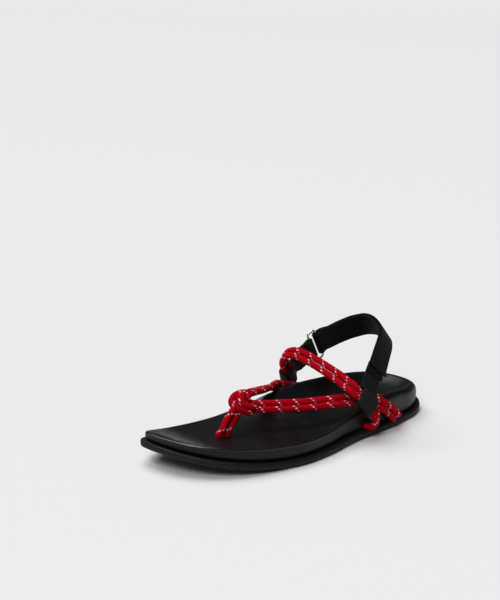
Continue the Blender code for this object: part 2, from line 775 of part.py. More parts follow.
def make_webbing_lateral(path, across):
    """Ribbed webbing: sewn under the heel strap, down and round the instep pair."""
    middle, axis, up, out = fold_frame(INSTEP_PAIR[4], INSTEP_PAIR[6], INSTEP_PAIR[3], 1)
    under = (STRAP_THICK + STRAP_PLY) / 2 + STRAP_THICK / 2 + GAP + WEB_THICK / 2
    points, ways = [], []
    for i in range(len(path) - LAP, len(path)):
        run = (path[min(i + 1, len(path) - 1)] - path[i - 1]).normalized()
        points.append(path[i] - across[i].cross(run).normalized() * under)
        ways.append(across[i])
    for row in WEB_RISER:
        points.append(place(*row[:3]))
        ways.append(vector(row, 3))
    loop = fold(middle, up, -out, FOLD_TURN)[::-1]
    path, across = fine(points + [loop[0]], ways + [axis], BAND_STEP)
    centres = path + loop[1:]
    ways = across + [axis] * (len(loop) - 1)
    return band("webbing_lateral", centres, ways, WEB_WIDTH, WEB_THICK, WEBBING)


def make_webbing_medial():
    """Closed loop of webbing from the instep pair to the ring's front bar."""
    middle, axis, up, out = fold_frame(INSTEP_PAIR[18], INSTEP_PAIR[16], INSTEP_PAIR[19], -1)
    loop = fold(middle, up, out, FOLD_TURN)
    wrap = (RING_WIRE + WEB_THICK) / 2 + GAP
    back = -RING_AHEAD
    leaf = (WEB_THICK + GAP) / 2
    near = RING_FRONT + RING_AHEAD * 2.3 * RING_WIRE
    turn = [near - RING_OUT * leaf, RING_FRONT - RING_OUT * wrap,
            RING_FRONT + (back - RING_OUT) * wrap * 0.71, RING_FRONT + back * wrap,
            RING_FRONT + (back + RING_OUT) * wrap * 0.71, RING_FRONT + RING_OUT * wrap,
            near + RING_OUT * leaf]
    centres, ways = list(loop), [axis] * len(loop)
    for start, end, way0, way1 in ((loop[-1], turn[0], axis, RING_ALONG),
                                   (turn[-1], loop[0], RING_ALONG, axis)):
        for n in range(1, 4):
            centres.append(start.lerp(end, n / 4))
            ways.append(way0.lerp(way1, n / 4).normalized())
        if end is turn[0]:
            centres += turn
            ways += [RING_ALONG] * len(turn)
    return band("webbing_medial", centres, ways, WEB_WIDTH, WEB_THICK, WEBBING, closed=True)


make_outsole()
insole = loft("insole", make_insole(), COVER)
footbed = loft("footbed", make_footbed(), FOAM)
make_toe_rope()
rope("instep_rope_rear", instep_strands[0])
rope("instep_rope_front", instep_strands[1])
for strand in list(lateral_strands) + list(medial_strands):
    bore([bpy.data.objects["footbed"]], strand[-2], strand[-1])
for strand in instep_strands:
    bore([bpy.data.objects["footbed"]], strand[1], strand[0])
    bore([bpy.data.objects["footbed"]], strand[-2], strand[-1])
for strand in post_strands:
    for name in ("footbed", "insole"):
        bore([bpy.data.objects[name]], strand[1], strand[0] - Vector((0, 0, 2 * GAP)))
make_ring()
strap, strap_path, strap_across = make_heel_strap()
make_webbing_lateral(strap_path, strap_across)
make_webbing_medial()
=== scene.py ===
# Rope sandal, left foot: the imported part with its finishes, on a pale studio floor.
# Metres. +X is the lateral side, the toe points to -Y, the origin is under the heel.

import math

import bmesh
import bpy
from mathutils import Matrix, Vector


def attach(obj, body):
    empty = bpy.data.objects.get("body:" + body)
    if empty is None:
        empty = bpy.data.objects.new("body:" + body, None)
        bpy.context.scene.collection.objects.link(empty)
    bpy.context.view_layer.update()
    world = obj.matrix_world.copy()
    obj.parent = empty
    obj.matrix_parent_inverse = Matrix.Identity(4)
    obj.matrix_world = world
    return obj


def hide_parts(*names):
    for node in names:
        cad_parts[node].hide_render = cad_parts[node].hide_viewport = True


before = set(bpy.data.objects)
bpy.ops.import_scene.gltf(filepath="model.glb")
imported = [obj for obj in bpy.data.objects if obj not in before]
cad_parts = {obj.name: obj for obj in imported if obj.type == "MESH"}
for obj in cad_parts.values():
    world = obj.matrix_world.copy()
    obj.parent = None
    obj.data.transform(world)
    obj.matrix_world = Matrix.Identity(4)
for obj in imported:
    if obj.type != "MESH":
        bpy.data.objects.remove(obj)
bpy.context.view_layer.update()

# Outsole
# One slab of black rubber, the same thickness all along, moulded with a turned-up toe and
# glued under the footbed. Its rim stands out past the footbed all round.

FOOT_LENGTH = 0.270
BALL_WIDTH = 0.093
REST_SHARE = 0.22            # share of length from the heel to the origin
OUTSOLE_THICK = 0.0060
OUTSOLE_FLANGE = 0.0036      # how far the rim stands out past the footbed
TOE_SPRING = 0.0141
TOE_SPRING_FROM, TOE_SPRING_CURVE = 0.66, 1.7
HEEL_LIFT = 0.0029
HEEL_LIFT_TO = 0.12
WAIST_LIFT = 0.0008
WAIST = (0.32, 0.38, 0.46, 0.52)         # where its lift starts, is full, falls and ends
TIP_SHIFT = 0.0250           # how far the toe's tip lies to the medial side
TIP_SHIFT_FROM = 0.6
GAP = 0.0003                 # between pieces that are glued or laid together
HALF = BALL_WIDTH / 2
STATIONS = 80                # outline points on each side of the foot
# share of length from the heel, lateral and medial half width as shares of HALF
WIDTHS = [
    (0.00, 0.67, 0.72), (0.06, 0.655, 0.735), (0.13, 0.70, 0.75), (0.22, 0.79, 0.75),
    (0.32, 0.84, 0.74), (0.42, 0.90, 0.745), (0.52, 1.01, 0.825), (0.62, 1.065, 0.935),
    (0.70, 1.04, 0.94), (0.78, 1.015, 0.935), (0.86, 0.98, 0.96), (0.93, 0.935, 0.985),
    (1.00, 0.87, 1.00),
]


def read(rows, at, column=1):
    """Smooth value of a table's column at a share of length."""
    if at <= rows[0][0]:
        return rows[0][column]
    if at >= rows[-1][0]:
        return rows[-1][column]
    i = max(j for j in range(len(rows) - 1) if rows[j][0] <= at)
    x0, x1 = rows[i][0], rows[i + 1][0]
    y0, y1 = rows[i][column], rows[i + 1][column]

    def slope(j):
        if j == 0 or j == len(rows) - 1:
            k = 0 if j == 0 else len(rows) - 2
            return (rows[k + 1][column] - rows[k][column]) / (rows[k + 1][0] - rows[k][0])
        return (rows[j + 1][column] - rows[j - 1][column]) / (rows[j + 1][0] - rows[j - 1][0])

    span = x1 - x0
    t = (at - x0) / span
    a, b = slope(i) * span, slope(i + 1) * span
    return ((2 * t ** 3 - 3 * t ** 2 + 1) * y0 + (t ** 3 - 2 * t ** 2 + t) * a
            + (3 * t ** 2 - 2 * t ** 3) * y1 + (t ** 3 - t ** 2) * b)


def clamp(value):
    return min(max(value, 0.0), 1.0)


def ease(at, start, end):
    """0 before start, 1 after end, smooth between."""
    t = clamp((at - start) / (end - start))
    return t * t * (3 - 2 * t)


ROUND = 2.2                  # exponent of the round ends
HEEL_END = 0.13              # share of length that the heel's round end takes
TOE_END = {1: 0.41, -1: 0.27}      # and the toe's, on the lateral and the medial side


def along(share):
    """Y of a share of the length, counted from the heel."""
    return (REST_SHARE - share) * FOOT_LENGTH


def side_x(share, side):
    """X of the footbed's edge; side is 1 for lateral and -1 for medial."""
    half = HALF * read(WIDTHS, share, 1 if side > 0 else 2)
    end = 1.0
    if share < HEEL_END:
        end = (1 - (1 - share / HEEL_END) ** ROUND) ** (1 / ROUND)
    start = 1 - TOE_END[side]
    if share > start:
        end = (1 - ((share - start) / TOE_END[side]) ** ROUND) ** (1 / ROUND)
    shift = TIP_SHIFT * clamp((share - TIP_SHIFT_FROM) / (1 - TIP_SHIFT_FROM)) ** 2
    return -shift + side * (half + side * shift) * end


def ground(share):
    """Height of the outsole's bottom."""
    toe = TOE_SPRING * clamp((share - TOE_SPRING_FROM) / (1 - TOE_SPRING_FROM)) ** TOE_SPRING_CURVE
    heel = HEEL_LIFT * clamp((HEEL_LIFT_TO - share) / HEEL_LIFT_TO) ** 2
    waist = WAIST_LIFT * ease(share, *WAIST[:2]) * (1 - ease(share, *WAIST[2:]))
    return toe + heel + waist


def deck(share):
    """Height of the outsole's top."""
    return ground(share) + OUTSOLE_THICK


def stations():
    """Shares and sides round the outline: heel, lateral, toe, medial."""
    shares = [0.5 - 0.5 * math.cos(math.pi * k / STATIONS) for k in range(STATIONS + 1)]
    loop = [(share, 1) for share in shares]
    return loop + [(share, -1) for share in reversed(shares[1:-1])]


LOOP = stations()
EDGE = [Vector((side_x(share, side), along(share))) for share, side in LOOP]


def normals():
    """Outward normals of the outline, in plan."""
    result = []
    for k in range(len(EDGE)):
        step = EDGE[(k + 1) % len(EDGE)] - EDGE[k - 1]
        result.append(Vector((-step.y, step.x)).normalized())
    return result


OUTWARD = normals()
SPINE_START, SPINE_END = 0.14, 0.84      # shares of length where the middle line ends


def spine(k):
    """Point on the middle line that outline point k draws in to."""
    share = min(max(LOOP[k][0], SPINE_START), SPINE_END)
    middle = (side_x(share, 1) + side_x(share, -1)) / 2
    return Vector((middle, along(share)))


def contour(inset, fraction, height):
    """One loop of points: inset from the outline, then a fraction of the way to the middle."""
    points = []
    for k, (share, side) in enumerate(LOOP):
        edge = EDGE[k] - OUTWARD[k] * inset(share)
        point = edge.lerp(spine(k), fraction)
        share_there = REST_SHARE - point.y / FOOT_LENGTH
        points.append(Vector((point.x, point.y, height(share, side, share_there))))
    return points


def flat(inset):
    """An inset that is the same all round."""
    return lambda share: inset


def sole_height(level):
    """Height of an outsole loop: level 0 is the bottom and 1 the top."""
    return lambda share, side, there: ground(there) + level * (deck(there) - ground(there))


def add(name, data):
    """Adds a mesh, a lamp or a camera to the scene."""
    piece = bpy.data.objects.new(name, data)
    bpy.context.scene.collection.objects.link(piece)
    return piece


MERGE = 0.00001              # points nearer than this to each other are one
CREASE = math.radians(60)    # edges sharper than this stay sharp


def skin(name, loops, lengths=None, arounds=None, joined=False, capped=False):
    """A surface through loops of points. The UVs, where given, are metres along and across."""
    count = len(loops[0])
    faces, marks = [], []
    for i in range(len(loops) if joined else len(loops) - 1):
        low, high = i * count, ((i + 1) % len(loops)) * count
        for k in range(count):
            j = (k + 1) % count
            faces.append((low + k, low + j, high + j, high + k))
            if lengths:
                marks += [(lengths[i], arounds[k]), (lengths[i], arounds[k + 1]),
                          (lengths[i + 1], arounds[k + 1]), (lengths[i + 1], arounds[k])]
    if capped:
        last = (len(loops) - 1) * count
        faces += [tuple(range(count)), tuple(range(last, last + count))]
        marks += [(lengths[0], value) for value in arounds[:-1]]
        marks += [(lengths[-1], value) for value in arounds[:-1]]
    mesh = bpy.data.meshes.new(name)
    mesh.from_pydata([point for loop in loops for point in loop], [], faces)
    if lengths:
        layer = mesh.uv_layers.new(name="lay")
        layer.data.foreach_set("uv", [value for mark in marks for value in mark])
    shape = bmesh.new()
    shape.from_mesh(mesh)
    bmesh.ops.remove_doubles(shape, verts=shape.verts, dist=MERGE)
    bmesh.ops.dissolve_degenerate(shape, dist=MERGE, edges=shape.edges)
    bmesh.ops.recalc_face_normals(shape, faces=shape.faces)
    shape.to_mesh(mesh)
    shape.free()
    mesh.shade_smooth()
    return add(name, mesh)


def fit(piece, finish, replaced):
    """Gives a piece its finish, hangs it on the sandal and lets it stand for a plain solid."""
    piece.data.materials.clear()
    piece.data.materials.append(finish)
    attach(piece, "root")
    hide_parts(replaced)


def linear(code):
    """An sRGB hex colour turned to linear RGBA."""
    shares = [int(code[i:i + 2], 16) / 255 for i in (1, 3, 5)]
    return tuple(v / 12.92 if v <= 0.04045 else ((v + 0.055) / 1.055) ** 2.4
                 for v in shares) + (1.0,)


def put(tree, kind, settings, sockets, output=0):
    """Adds a node with its settings; a socket gets a value, or a link from another node.

    Map Range: 0 is the value, 1 and 2 the range it comes from, 3 and 4 the one it goes to.
    Mix: 0 is the share, 2 and 3 two numbers, or 6 and 7 two colours, which output 2 gives.
    """
    made = tree.nodes.new("ShaderNode" + kind)
    for name, value in settings.items():
        setattr(made, name, value)
    for name, value in sockets.items():
        if isinstance(value, bpy.types.NodeSocket):
            tree.links.new(value, made.inputs[name])
        else:
            made.inputs[name].default_value = value
    return made.outputs[output]


SMOOTH_STEP = {"interpolation_type": "SMOOTHSTEP"}
OF_COLOURS = {"data_type": "RGBA"}


def finish_of(name, roughness, ior, metallic=0.0, specular=0.5):
    """A new material: its tree and its Principled shader."""
    made = bpy.data.materials.new(name)
    made.use_nodes = True
    shader = made.node_tree.nodes["Principled BSDF"]
    shader.inputs["Roughness"].default_value = roughness
    shader.inputs["Metallic"].default_value = metallic
    shader.inputs["IOR"].default_value = ior
    shader.inputs["Specular IOR Level"].default_value = specular
    return made, made.node_tree, shader


def mottle(tree, size, low, high, dark, light, detail=4.0):
    """Cloudy colour between two hex colours; size is the patches' width in metres."""
    here = put(tree, "TexCoord", {}, {}, "Object")
    cloud = put(tree, "TexNoise", {}, {"Vector": here, "Scale": 1 / size, "Detail": detail})
    level = put(tree, "MapRange", {}, {0: cloud, 1: low, 2: high})
    return put(tree, "Mix", OF_COLOURS, {0: level, 6: linear(dark), 7: linear(light)}, 2)


# Moulded rubber, from a blasted mould: near black, matt, rubbed smoother in patches
RUBBER_CLOUD, RUBBER_GRAIN, RUBBED_PATCH = 0.030, 0.00035, 0.012
rubber, tree, shader = finish_of("moulded_rubber", 0.60, 1.52, specular=0.26)
colour = mottle(tree, RUBBER_CLOUD, 0.35, 0.65, "#09090a", "#101011")
tree.links.new(colour, shader.inputs["Base Color"])
here = put(tree, "TexCoord", {}, {}, "Object")
grain = put(tree, "TexNoise", {}, {"Vector": here, "Scale": 1 / RUBBER_GRAIN, "Detail": 2.0})
rubbed = put(tree, "TexNoise", {}, {"Vector": here, "Scale": 1 / RUBBED_PATCH, "Detail": 5.0})
gloss = put(tree, "MapRange", {}, {0: rubbed, 1: 0.35, 2: 0.70, 3: 0.54, 4: 0.68})
tree.links.new(gloss, shader.inputs["Roughness"])
bump = put(tree, "Bump", {}, {"Strength": 0.25, "Distance": 0.0001, "Height": grain})
# the tread: shallow waves across the underside, only where its face looks down
TREAD_PITCH, TREAD_DEPTH = 0.005, 0.001
TREAD_FROM, TREAD_FULL = -0.93, -0.96    # how far down the face looks
down = put(tree, "SeparateXYZ", {}, {0: put(tree, "NewGeometry", {}, {}, "Normal")}, 2)
down = put(tree, "MapRange", {}, {0: down, 1: TREAD_FROM, 2: TREAD_FULL})
split = put(tree, "SeparateXYZ", {}, {0: here}).node
sway = put(tree, "Math", {"operation": "PINGPONG"}, {0: split.outputs[0], 1: 2 * TREAD_PITCH})
waves = put(tree, "Math", {"operation": "ADD"}, {0: split.outputs[1], 1: sway})
waves = put(tree, "Math", {"operation": "PINGPONG"}, {0: waves, 1: TREAD_PITCH / 2})
waves = put(tree, "MapRange", SMOOTH_STEP,
            {0: waves, 1: 0.20 * TREAD_PITCH, 2: 0.30 * TREAD_PITCH})
tread = put(tree, "Math", {"operation": "MULTIPLY"}, {0: waves, 1: down})
bump = put(tree, "Bump", {},
           {"Strength": 1.0, "Distance": TREAD_DEPTH, "Height": tread, "Normal": bump})
tree.links.new(bump, shader.inputs["Normal"])

# the edge, from the bottom up: inset as a share of the flange, level up its side
SOLE_EDGE = [(0.66, 0.05), (0.30, 0.15), (0.06, 0.24), (0.0, 0.32), (0.0, 0.55), (0.0, 0.74),
             (0.08, 0.87), (0.22, 0.96), (0.40, 1.0)]
SOLE_UNDER, SOLE_OVER = 0.90, 1.28       # insets of the bottom and of the top, likewise


def sole_loop(inset_share, fraction, level):
    """A loop of the outsole, inset from its rim by a share of the flange."""
    return contour(flat((inset_share - 1) * OUTSOLE_FLANGE), fraction, sole_height(level))


rows = [sole_loop(SOLE_UNDER, fraction, 0) for fraction in (1.0, 0.80, 0.60, 0.40, 0.20, 0.08, 0.0)]
rows += [sole_loop(inset_share, 0.0, level) for inset_share, level in SOLE_EDGE]
rows += [sole_loop(SOLE_OVER, fraction, 1) for fraction in (0.0, 0.33, 1.0)]
outsole = skin("outsole_rubber", rows)
outsole.data.set_sharp_from_angle(angle=CREASE)
fit(outsole, rubber, "outsole")

# Footbed
# Moulded foam that carries the foot, higher round the heel and under the arch. Its wall
# draws in above the outsole, so a dark line runs round between the two.

RIM_RISE = 0.0310
CUP_FLOOR = 0.0170           # height of the dished floor at the heel
WALL_TUCK = 0.0013           # how far the wall draws in at its foot
INSOLE_THICK = 0.0015
CREST_BALL = 0.0014          # how far the insole wraps over the rim at the ball
CREST_HEEL = 0.0066          # and at the heel
# share of length, lateral and medial rim height as shares of RIM_RISE
RIMS = [
    (0.00, 0.775, 0.775), (0.10, 0.84, 0.84), (0.20, 0.92, 0.94), (0.30, 0.93, 0.995),
    (0.40, 0.76, 0.98), (0.50, 0.60, 0.83), (0.60, 0.56, 0.59), (0.70, 0.59, 0.51),
    (0.80, 0.66, 0.535), (0.90, 0.75, 0.64), (1.00, 0.86, 0.85),
]
# share of length, height of the dished floor as a share of CUP_FLOOR
FLOORS = [
    (0.00, 1.10), (0.08, 1.02), (0.15, 1.00), (0.28, 1.00), (0.40, 0.96), (0.50, 0.86),
    (0.60, 0.79), (0.70, 0.765), (0.78, 0.80), (0.86, 0.975), (0.93, 1.22), (1.00, 1.50),
]
# fraction of the way from crest to middle, share of the dish's depth left there
DISH = [(0.0, 1.0), (0.12, 0.72), (0.28, 0.40), (0.48, 0.16), (0.72, 0.03), (1.0, 0.0)]


def rim(share, side):
    """Height of the insole's edge, the highest line of the sole."""
    return RIM_RISE * read(RIMS, share, 1 if side > 0 else 2)


def floor(share):
    """Height of the dished floor along its middle."""
    return CUP_FLOOR * read(FLOORS, share)


def crest(share):
    """How far the insole wraps over the rim."""
    return CREST_HEEL + (CREST_BALL - CREST_HEEL) * ease(share, 0.25, 0.50)


def dish_height(fraction, drop):
    """Height of the insole's top, or of a surface below it by drop."""
    left = read(DISH, fraction)

    def height(share, side, there):
        base = floor(there)
        return base + (rim(share, side) - base) * left - drop
    return height


def under_rim(share_of_crest, extra=0.0):
    """Height below the rim, by a share of the crest and an extra depth."""
    return lambda share, side, there: rim(share, side) - share_of_crest * crest(share) - extra


def insole_under(gap):
    """Loops of the insole's underside, middle to edge, lowered by a gap."""
    under = INSOLE_THICK
    rows = [contour(crest, fraction, dish_height(fraction, under + gap))
            for fraction in (1.0, 0.72, 0.45, 0.26, 0.14)]
    return rows + [
        contour(lambda s: crest(s) + 0.25 * under, 0.06, dish_height(0.06, 1.05 * under + gap)),
        contour(lambda s: 0.75 * crest(s) + 0.45 * under, 0.0, under_rim(0.0, under + gap)),
        contour(lambda s: 0.30 * crest(s) + 0.70 * under, 0.0,
             lambda s, d, t: rim(s, d) - max(0.55 * crest(s), 0.95 * under) - gap),
        contour(flat(0.85 * under), 0.0, under_rim(1.0, GAP / 3 + gap)),
        contour(flat(0.0), 0.0, under_rim(1.0, gap))]


def wall(level):
    """Height of a loop on the footbed's wall: level 0 at the outsole and 1 under the insole."""
    return lambda s, d, t: deck(t) + GAP + level * (rim(s, d) - crest(s) - deck(t) - 2 * GAP)


# Moulded foam: black, with the satin skin and the fine pebble of its mould
FOAM_CLOUD, FOAM_PEBBLE = 0.040, 0.0006
foam, tree, shader = finish_of("moulded_foam", 0.44, 1.48, specular=0.28)
colour = mottle(tree, FOAM_CLOUD, 0.30, 0.70, "#070707", "#0c0b0b")
tree.links.new(colour, shader.inputs["Base Color"])
here = put(tree, "TexCoord", {}, {}, "Object")
pebble = put(tree, "TexVoronoi", {"feature": "SMOOTH_F1"},
             {"Vector": here, "Scale": 1 / FOAM_PEBBLE})
bump = put(tree, "Bump", {}, {"Strength": 0.12, "Distance": 0.0001, "Height": pebble})
tree.links.new(bump, shader.inputs["Normal"])

SEAM = 0.00005               # between the cover and the foam under it
# the wall, from its foot up: inset as a share of the tuck, level
WALL = [(1.8, 0.0), (1.0, 0.06), (0.72, 0.13), (0.45, 0.22), (0.22, 0.35), (0.05, 0.52),
        (0.0, 0.75)]
rows = [contour(flat(WALL[0][0] * WALL_TUCK), fraction, wall(0.0)) for fraction in (1.0, 0.33)]
rows += [contour(flat(inset * WALL_TUCK), 0.0, wall(level)) for inset, level in WALL]
rows += list(reversed(insole_under(SEAM)))
footbed = skin("footbed_foam", rows)
footbed.data.set_sharp_from_angle(angle=CREASE)
fit(footbed, foam, "footbed")

# Insole
# A smooth black leather cover glued over the footbed and rolled over its rim, so that a
# fine seam runs round just under the edge.

# Smooth-grain leather, dyed through: almost black, satin from its finish, creased a little
LEATHER_CLOUD, LEATHER_PORES, LEATHER_CREASE = 0.025, 0.0009, 0.010
leather, tree, shader = finish_of("smooth_leather", 0.38, 1.48, specular=0.30)
colour = mottle(tree, LEATHER_CLOUD, 0.30, 0.72, "#060505", "#0b0a0a", 6.0)
tree.links.new(colour, shader.inputs["Base Color"])
here = put(tree, "TexCoord", {}, {}, "Object")
pores = put(tree, "TexVoronoi", {"feature": "DISTANCE_TO_EDGE"},
            {"Vector": here, "Scale": 1 / LEATHER_PORES})
pores = put(tree, "MapRange", {}, {0: pores, 1: 0.0, 2: 0.25})
creases = put(tree, "TexNoise", {}, {"Vector": here, "Scale": 1 / LEATHER_CREASE, "Detail": 3.0})
gloss = put(tree, "MapRange", {}, {0: creases, 1: 0.30, 2: 0.70, 3: 0.32, 4: 0.44})
# its rolled edge is burnished, so that it draws a thin bright line round the forefoot
BURNISH_FROM, BURNISH_FULL = -0.060, -0.100
edge = put(tree, "SeparateXYZ", {}, {0: put(tree, "NewGeometry", {}, {}, "Normal")}, 2)
edge = put(tree, "MapRange", {}, {0: edge, 1: 0.97, 2: 0.88})
ahead = put(tree, "SeparateXYZ", {}, {0: here}, 1)
ahead = put(tree, "MapRange", {}, {0: ahead, 1: BURNISH_FROM, 2: BURNISH_FULL})
edge = put(tree, "Math", {"operation": "MULTIPLY"}, {0: edge, 1: ahead})
gloss = put(tree, "Mix", {}, {0: edge, 2: gloss, 3: 0.20})
tree.links.new(gloss, shader.inputs["Roughness"])
shine = put(tree, "MapRange", {}, {0: edge, 3: 0.30, 4: 0.90})
tree.links.new(shine, shader.inputs["Specular IOR Level"])
fine_bump = put(tree, "Bump", {}, {"Strength": 0.10, "Distance": 0.0001, "Height": pores})
bump = put(tree, "Bump", {},
           {"Strength": 0.15, "Distance": 0.0006, "Height": creases, "Normal": fine_bump})
tree.links.new(bump, shader.inputs["Normal"])

# the rolled edge, from below up: inset and depth under the rim as shares of the crest
ROLL = [(0.03, 0.80), (0.08, 0.60), (0.17, 0.38), (0.32, 0.20), (0.52, 0.07), (0.75, 0.0)]
rows = insole_under(0.0)
rows += [contour(lambda share: inset * crest(share), 0.0, under_rim(depth))
         for inset, depth in ROLL]
rows += [contour(crest, fraction, dish_height(fraction, 0.0))
         for fraction in (0.03, 0.06, 0.10, 0.14, 0.20, 0.26, 0.35, 0.45, 0.58, 0.72, 0.86, 1.0)]
insole = skin("insole_leather", rows)
insole.data.set_sharp_from_angle(angle=CREASE)
fit(insole, leather, "insole")

# Toe rope
# Red round braid, 5.6 mm thick, with one pale yarn. It comes up through the footbed as
# the toe post, is knotted, and runs back in pairs to holes low on both sides.

ROPE = 0.0056
RADIUS = ROPE / 2
PAIR_GAP = 0.0003            # between the two strands of a pair
ROPE_STEP = 0.0018           # between sections of the rope
ROPE_SIDES = 20
ANCHOR_RISE = 0.0034         # from the outsole's top to the middle of a rope's hole
ANCHOR_DEPTH = 0.0070
UPPER_RISE = 0.0820
REAR_ANCHOR = 0.2060         # shares of length
FRONT_ANCHOR = 0.3300
# where the post's two strands stand, as shares of half the ball's width and of the length
POST_FOOT = [(-0.200, 0.7815), (-0.172, 0.7540)]
# half width, length and rise shares of a pair's middle, then the way from strand to strand
LATERAL_PAIR = [
    (-0.258, 0.6741, 0.341, 0.7, -0.4, -0.6),
    (-0.183, 0.6481, 0.311, 0.7, -0.4, -0.6),
    (-0.097, 0.6178, 0.3, 0.65, -0.35, -0.68),
    (0.228, 0.5244, 0.299, 0.65, -0.35, -0.68),
    (0.473, 0.4481, 0.313, 0.65, -0.35, -0.68),
    (0.615, 0.3985, 0.324, 0.6, -0.35, -0.7),
    (0.71, 0.3481, 0.324, 0.4, -0.35, -0.85),
    (0.8, 0.3237, 0.335, 0.2, -0.35, -0.92),
    (0.901, 0.3015, 0.274, 0.1, -0.45, -0.88),
    (0.925, 0.2796, 0.222, 0, -0.6, -0.8),
    (0.929, 0.2556, 0.173, 0, -0.6, -0.8),
    (0.931, 0.2348, 0.112, 0, -0.75, -0.65),
    (0.903, 0.2156, 0.056, 0, -0.95, -0.3),
]
MEDIAL_PAIR = [
    (-0.28, 0.6778, 0.378, 0.9, 0.4, 0.15),
    (-0.366, 0.6556, 0.409, 0.9, 0.4, 0.15),
    (-0.43, 0.6222, 0.4, 0.9, 0.4, 0.15),
    (-0.516, 0.5741, 0.376, 0.9, 0.4, 0.15),
    (-0.645, 0.5222, 0.346, 0.85, 0.4, 0.35),
    (-0.77, 0.4852, 0.322, 0.7, 0.3, 0.65),
    (-0.867, 0.45, 0.283, 0.35, 0.3, 0.87),
    (-0.847, 0.4111, 0.243, 0.1, 0.35, 0.93),
    (-0.83, 0.3741, 0.207, 0, 0.35, 0.93),
    (-0.83, 0.3296, 0.171, 0, 0.4, 0.9),
    (-0.832, 0.2889, 0.137, 0, 0.5, 0.86),
    (-0.837, 0.2556, 0.102, 0, 0.65, 0.75),
    (-0.843, 0.2315, 0.078, 0, 0.85, 0.5),
    (-0.832, 0.2141, 0.061, 0, 0.95, 0.3),
]
# shares of points along single strands, in the post and in the knot
POST_FRONT = [
    (-0.189, 0.7685, 0.171),
    (-0.222, 0.7463, 0.25),
    (-0.258, 0.7204, 0.311),
    (-0.28, 0.6981, 0.348),
    (-0.312, 0.6815, 0.378),
]
POST_REAR = [
    (-0.174, 0.7456, 0.152),
    (-0.206, 0.7241, 0.213),
    (-0.237, 0.7019, 0.268),
    (-0.258, 0.6815, 0.311),
    (-0.28, 0.6685, 0.348),
]
KNOT_LOW_TURN = [
    (-0.376, 0.6889, 0.39),
    (-0.344, 0.7067, 0.37),
    (-0.265, 0.7104, 0.341),
    (-0.185, 0.6978, 0.309),
    (-0.133, 0.677, 0.278),
    (-0.163, 0.6574, 0.271),
]
KNOT_HIGH_TURN = [
    (-0.366, 0.6722, 0.415),
    (-0.312, 0.6889, 0.411),
    (-0.226, 0.6937, 0.382),
    (-0.151, 0.68, 0.345),
    (-0.116, 0.66, 0.317),
    (-0.161, 0.6426, 0.302),
]
KNOT_OUTER_LOOP = [
    (-0.409, 0.65, 0.421),
    (-0.415, 0.6722, 0.429),
    (-0.4, 0.6956, 0.417),
    (-0.37, 0.7104, 0.378),
    (-0.318, 0.7104, 0.339),
    (-0.269, 0.6963, 0.311),
]
KNOT_INNER_LOOP = [
    (-0.338, 0.6463, 0.421),
    (-0.329, 0.6685, 0.437),
    (-0.284, 0.6852, 0.427),
    (-0.228, 0.6889, 0.393),
    (-0.206, 0.6778, 0.348),
]


def place(x_share, length_share, rise_share):
    """A point of the upper from shares of half the ball's width, the length and UPPER_RISE."""
    return Vector((x_share * HALF, along(length_share), OUTSOLE_THICK + rise_share * UPPER_RISE))


def way_of(row):
    """The way that a table's row gives after its point."""
    return Vector(row[3:])


def anchor(length, side):
    """Where a rope meets the footbed's wall, and where it ends in its hole."""
    height = deck(length) + ANCHOR_RISE
    mouth = Vector((side_x(length, side), along(length), height))
    return mouth, mouth - Vector((side * ANCHOR_DEPTH, 0, 0))


def anchored(rows, start=None, end=None):
    """A pair's middle points and spreads; an anchored end runs straight into the wall."""
    points = [place(*row[:3]) for row in rows]
    spreads = [way_of(row) for row in rows]
    level = Vector((0, 1, 0))
    for at_start, anchor_end in ((True, start), (False, end)):
        if anchor_end is None:
            continue
        mouth, stop = anchor(*anchor_end)
        way = level if spreads[0 if at_start else -1].y > 0 else -level
        if at_start:
            points[:0] = [stop, mouth]
            spreads[:0] = [way, way]
        else:
            points += [mouth, stop]
            spreads += [way, way]
    return points, spreads


def strands(points, spreads):
    """Control points of the two strands that lie side by side along a pair's middle."""
    reach = (ROPE + PAIR_GAP) / 2
    sides = ([], [])
    for i, point in enumerate(points):
        before, after = points[max(i - 1, 0)], points[min(i + 1, len(points) - 1)]
        run = (after - before).normalized()
        way = (spreads[i] - run * spreads[i].dot(run)).normalized()
        sides[0].append(point + way * reach)
        sides[1].append(point - way * reach)
    return sides


def smooth(points, step):
    """Points about a step apart on a smooth curve through the given ones.

    Numbers after a point's first three are smoothed with it.
    """
    ends = [points[0] * 2 - points[1]] + list(points) + [points[-1] * 2 - points[-2]]
    result = []
    for i in range(1, len(ends) - 2):
        p0, p1, p2, p3 = ends[i - 1:i + 3]
        count = max(1, round(Vector((p2 - p1)[:3]).length / step))
        for n in range(count):
            t = n / count
            result.append(0.5 * (2 * p1 + (p2 - p0) * t + (2 * p0 - 5 * p1 + 4 * p2 - p3) * t ** 2
                                 + (3 * p1 - p0 - 3 * p2 + p3) * t ** 3))
    return result + [points[-1]]


def post(rows, x_share, length):
    """A strand of the toe post, from the bottom of its hole up."""
    foot = place(x_share, length, 0)
    bottom = Vector((foot.x, foot.y, deck(length) + 3 * GAP))
    mouth = Vector((foot.x, foot.y, floor(length) + INSOLE_THICK))
    return [bottom, mouth] + [place(*row) for row in rows]


def lengths_of(centres):
    """Distance along a path at each of its points."""
    total = [0.0]
    for one, two in zip(centres, centres[1:]):
        total.append(total[-1] + (two - one).length)
    return total


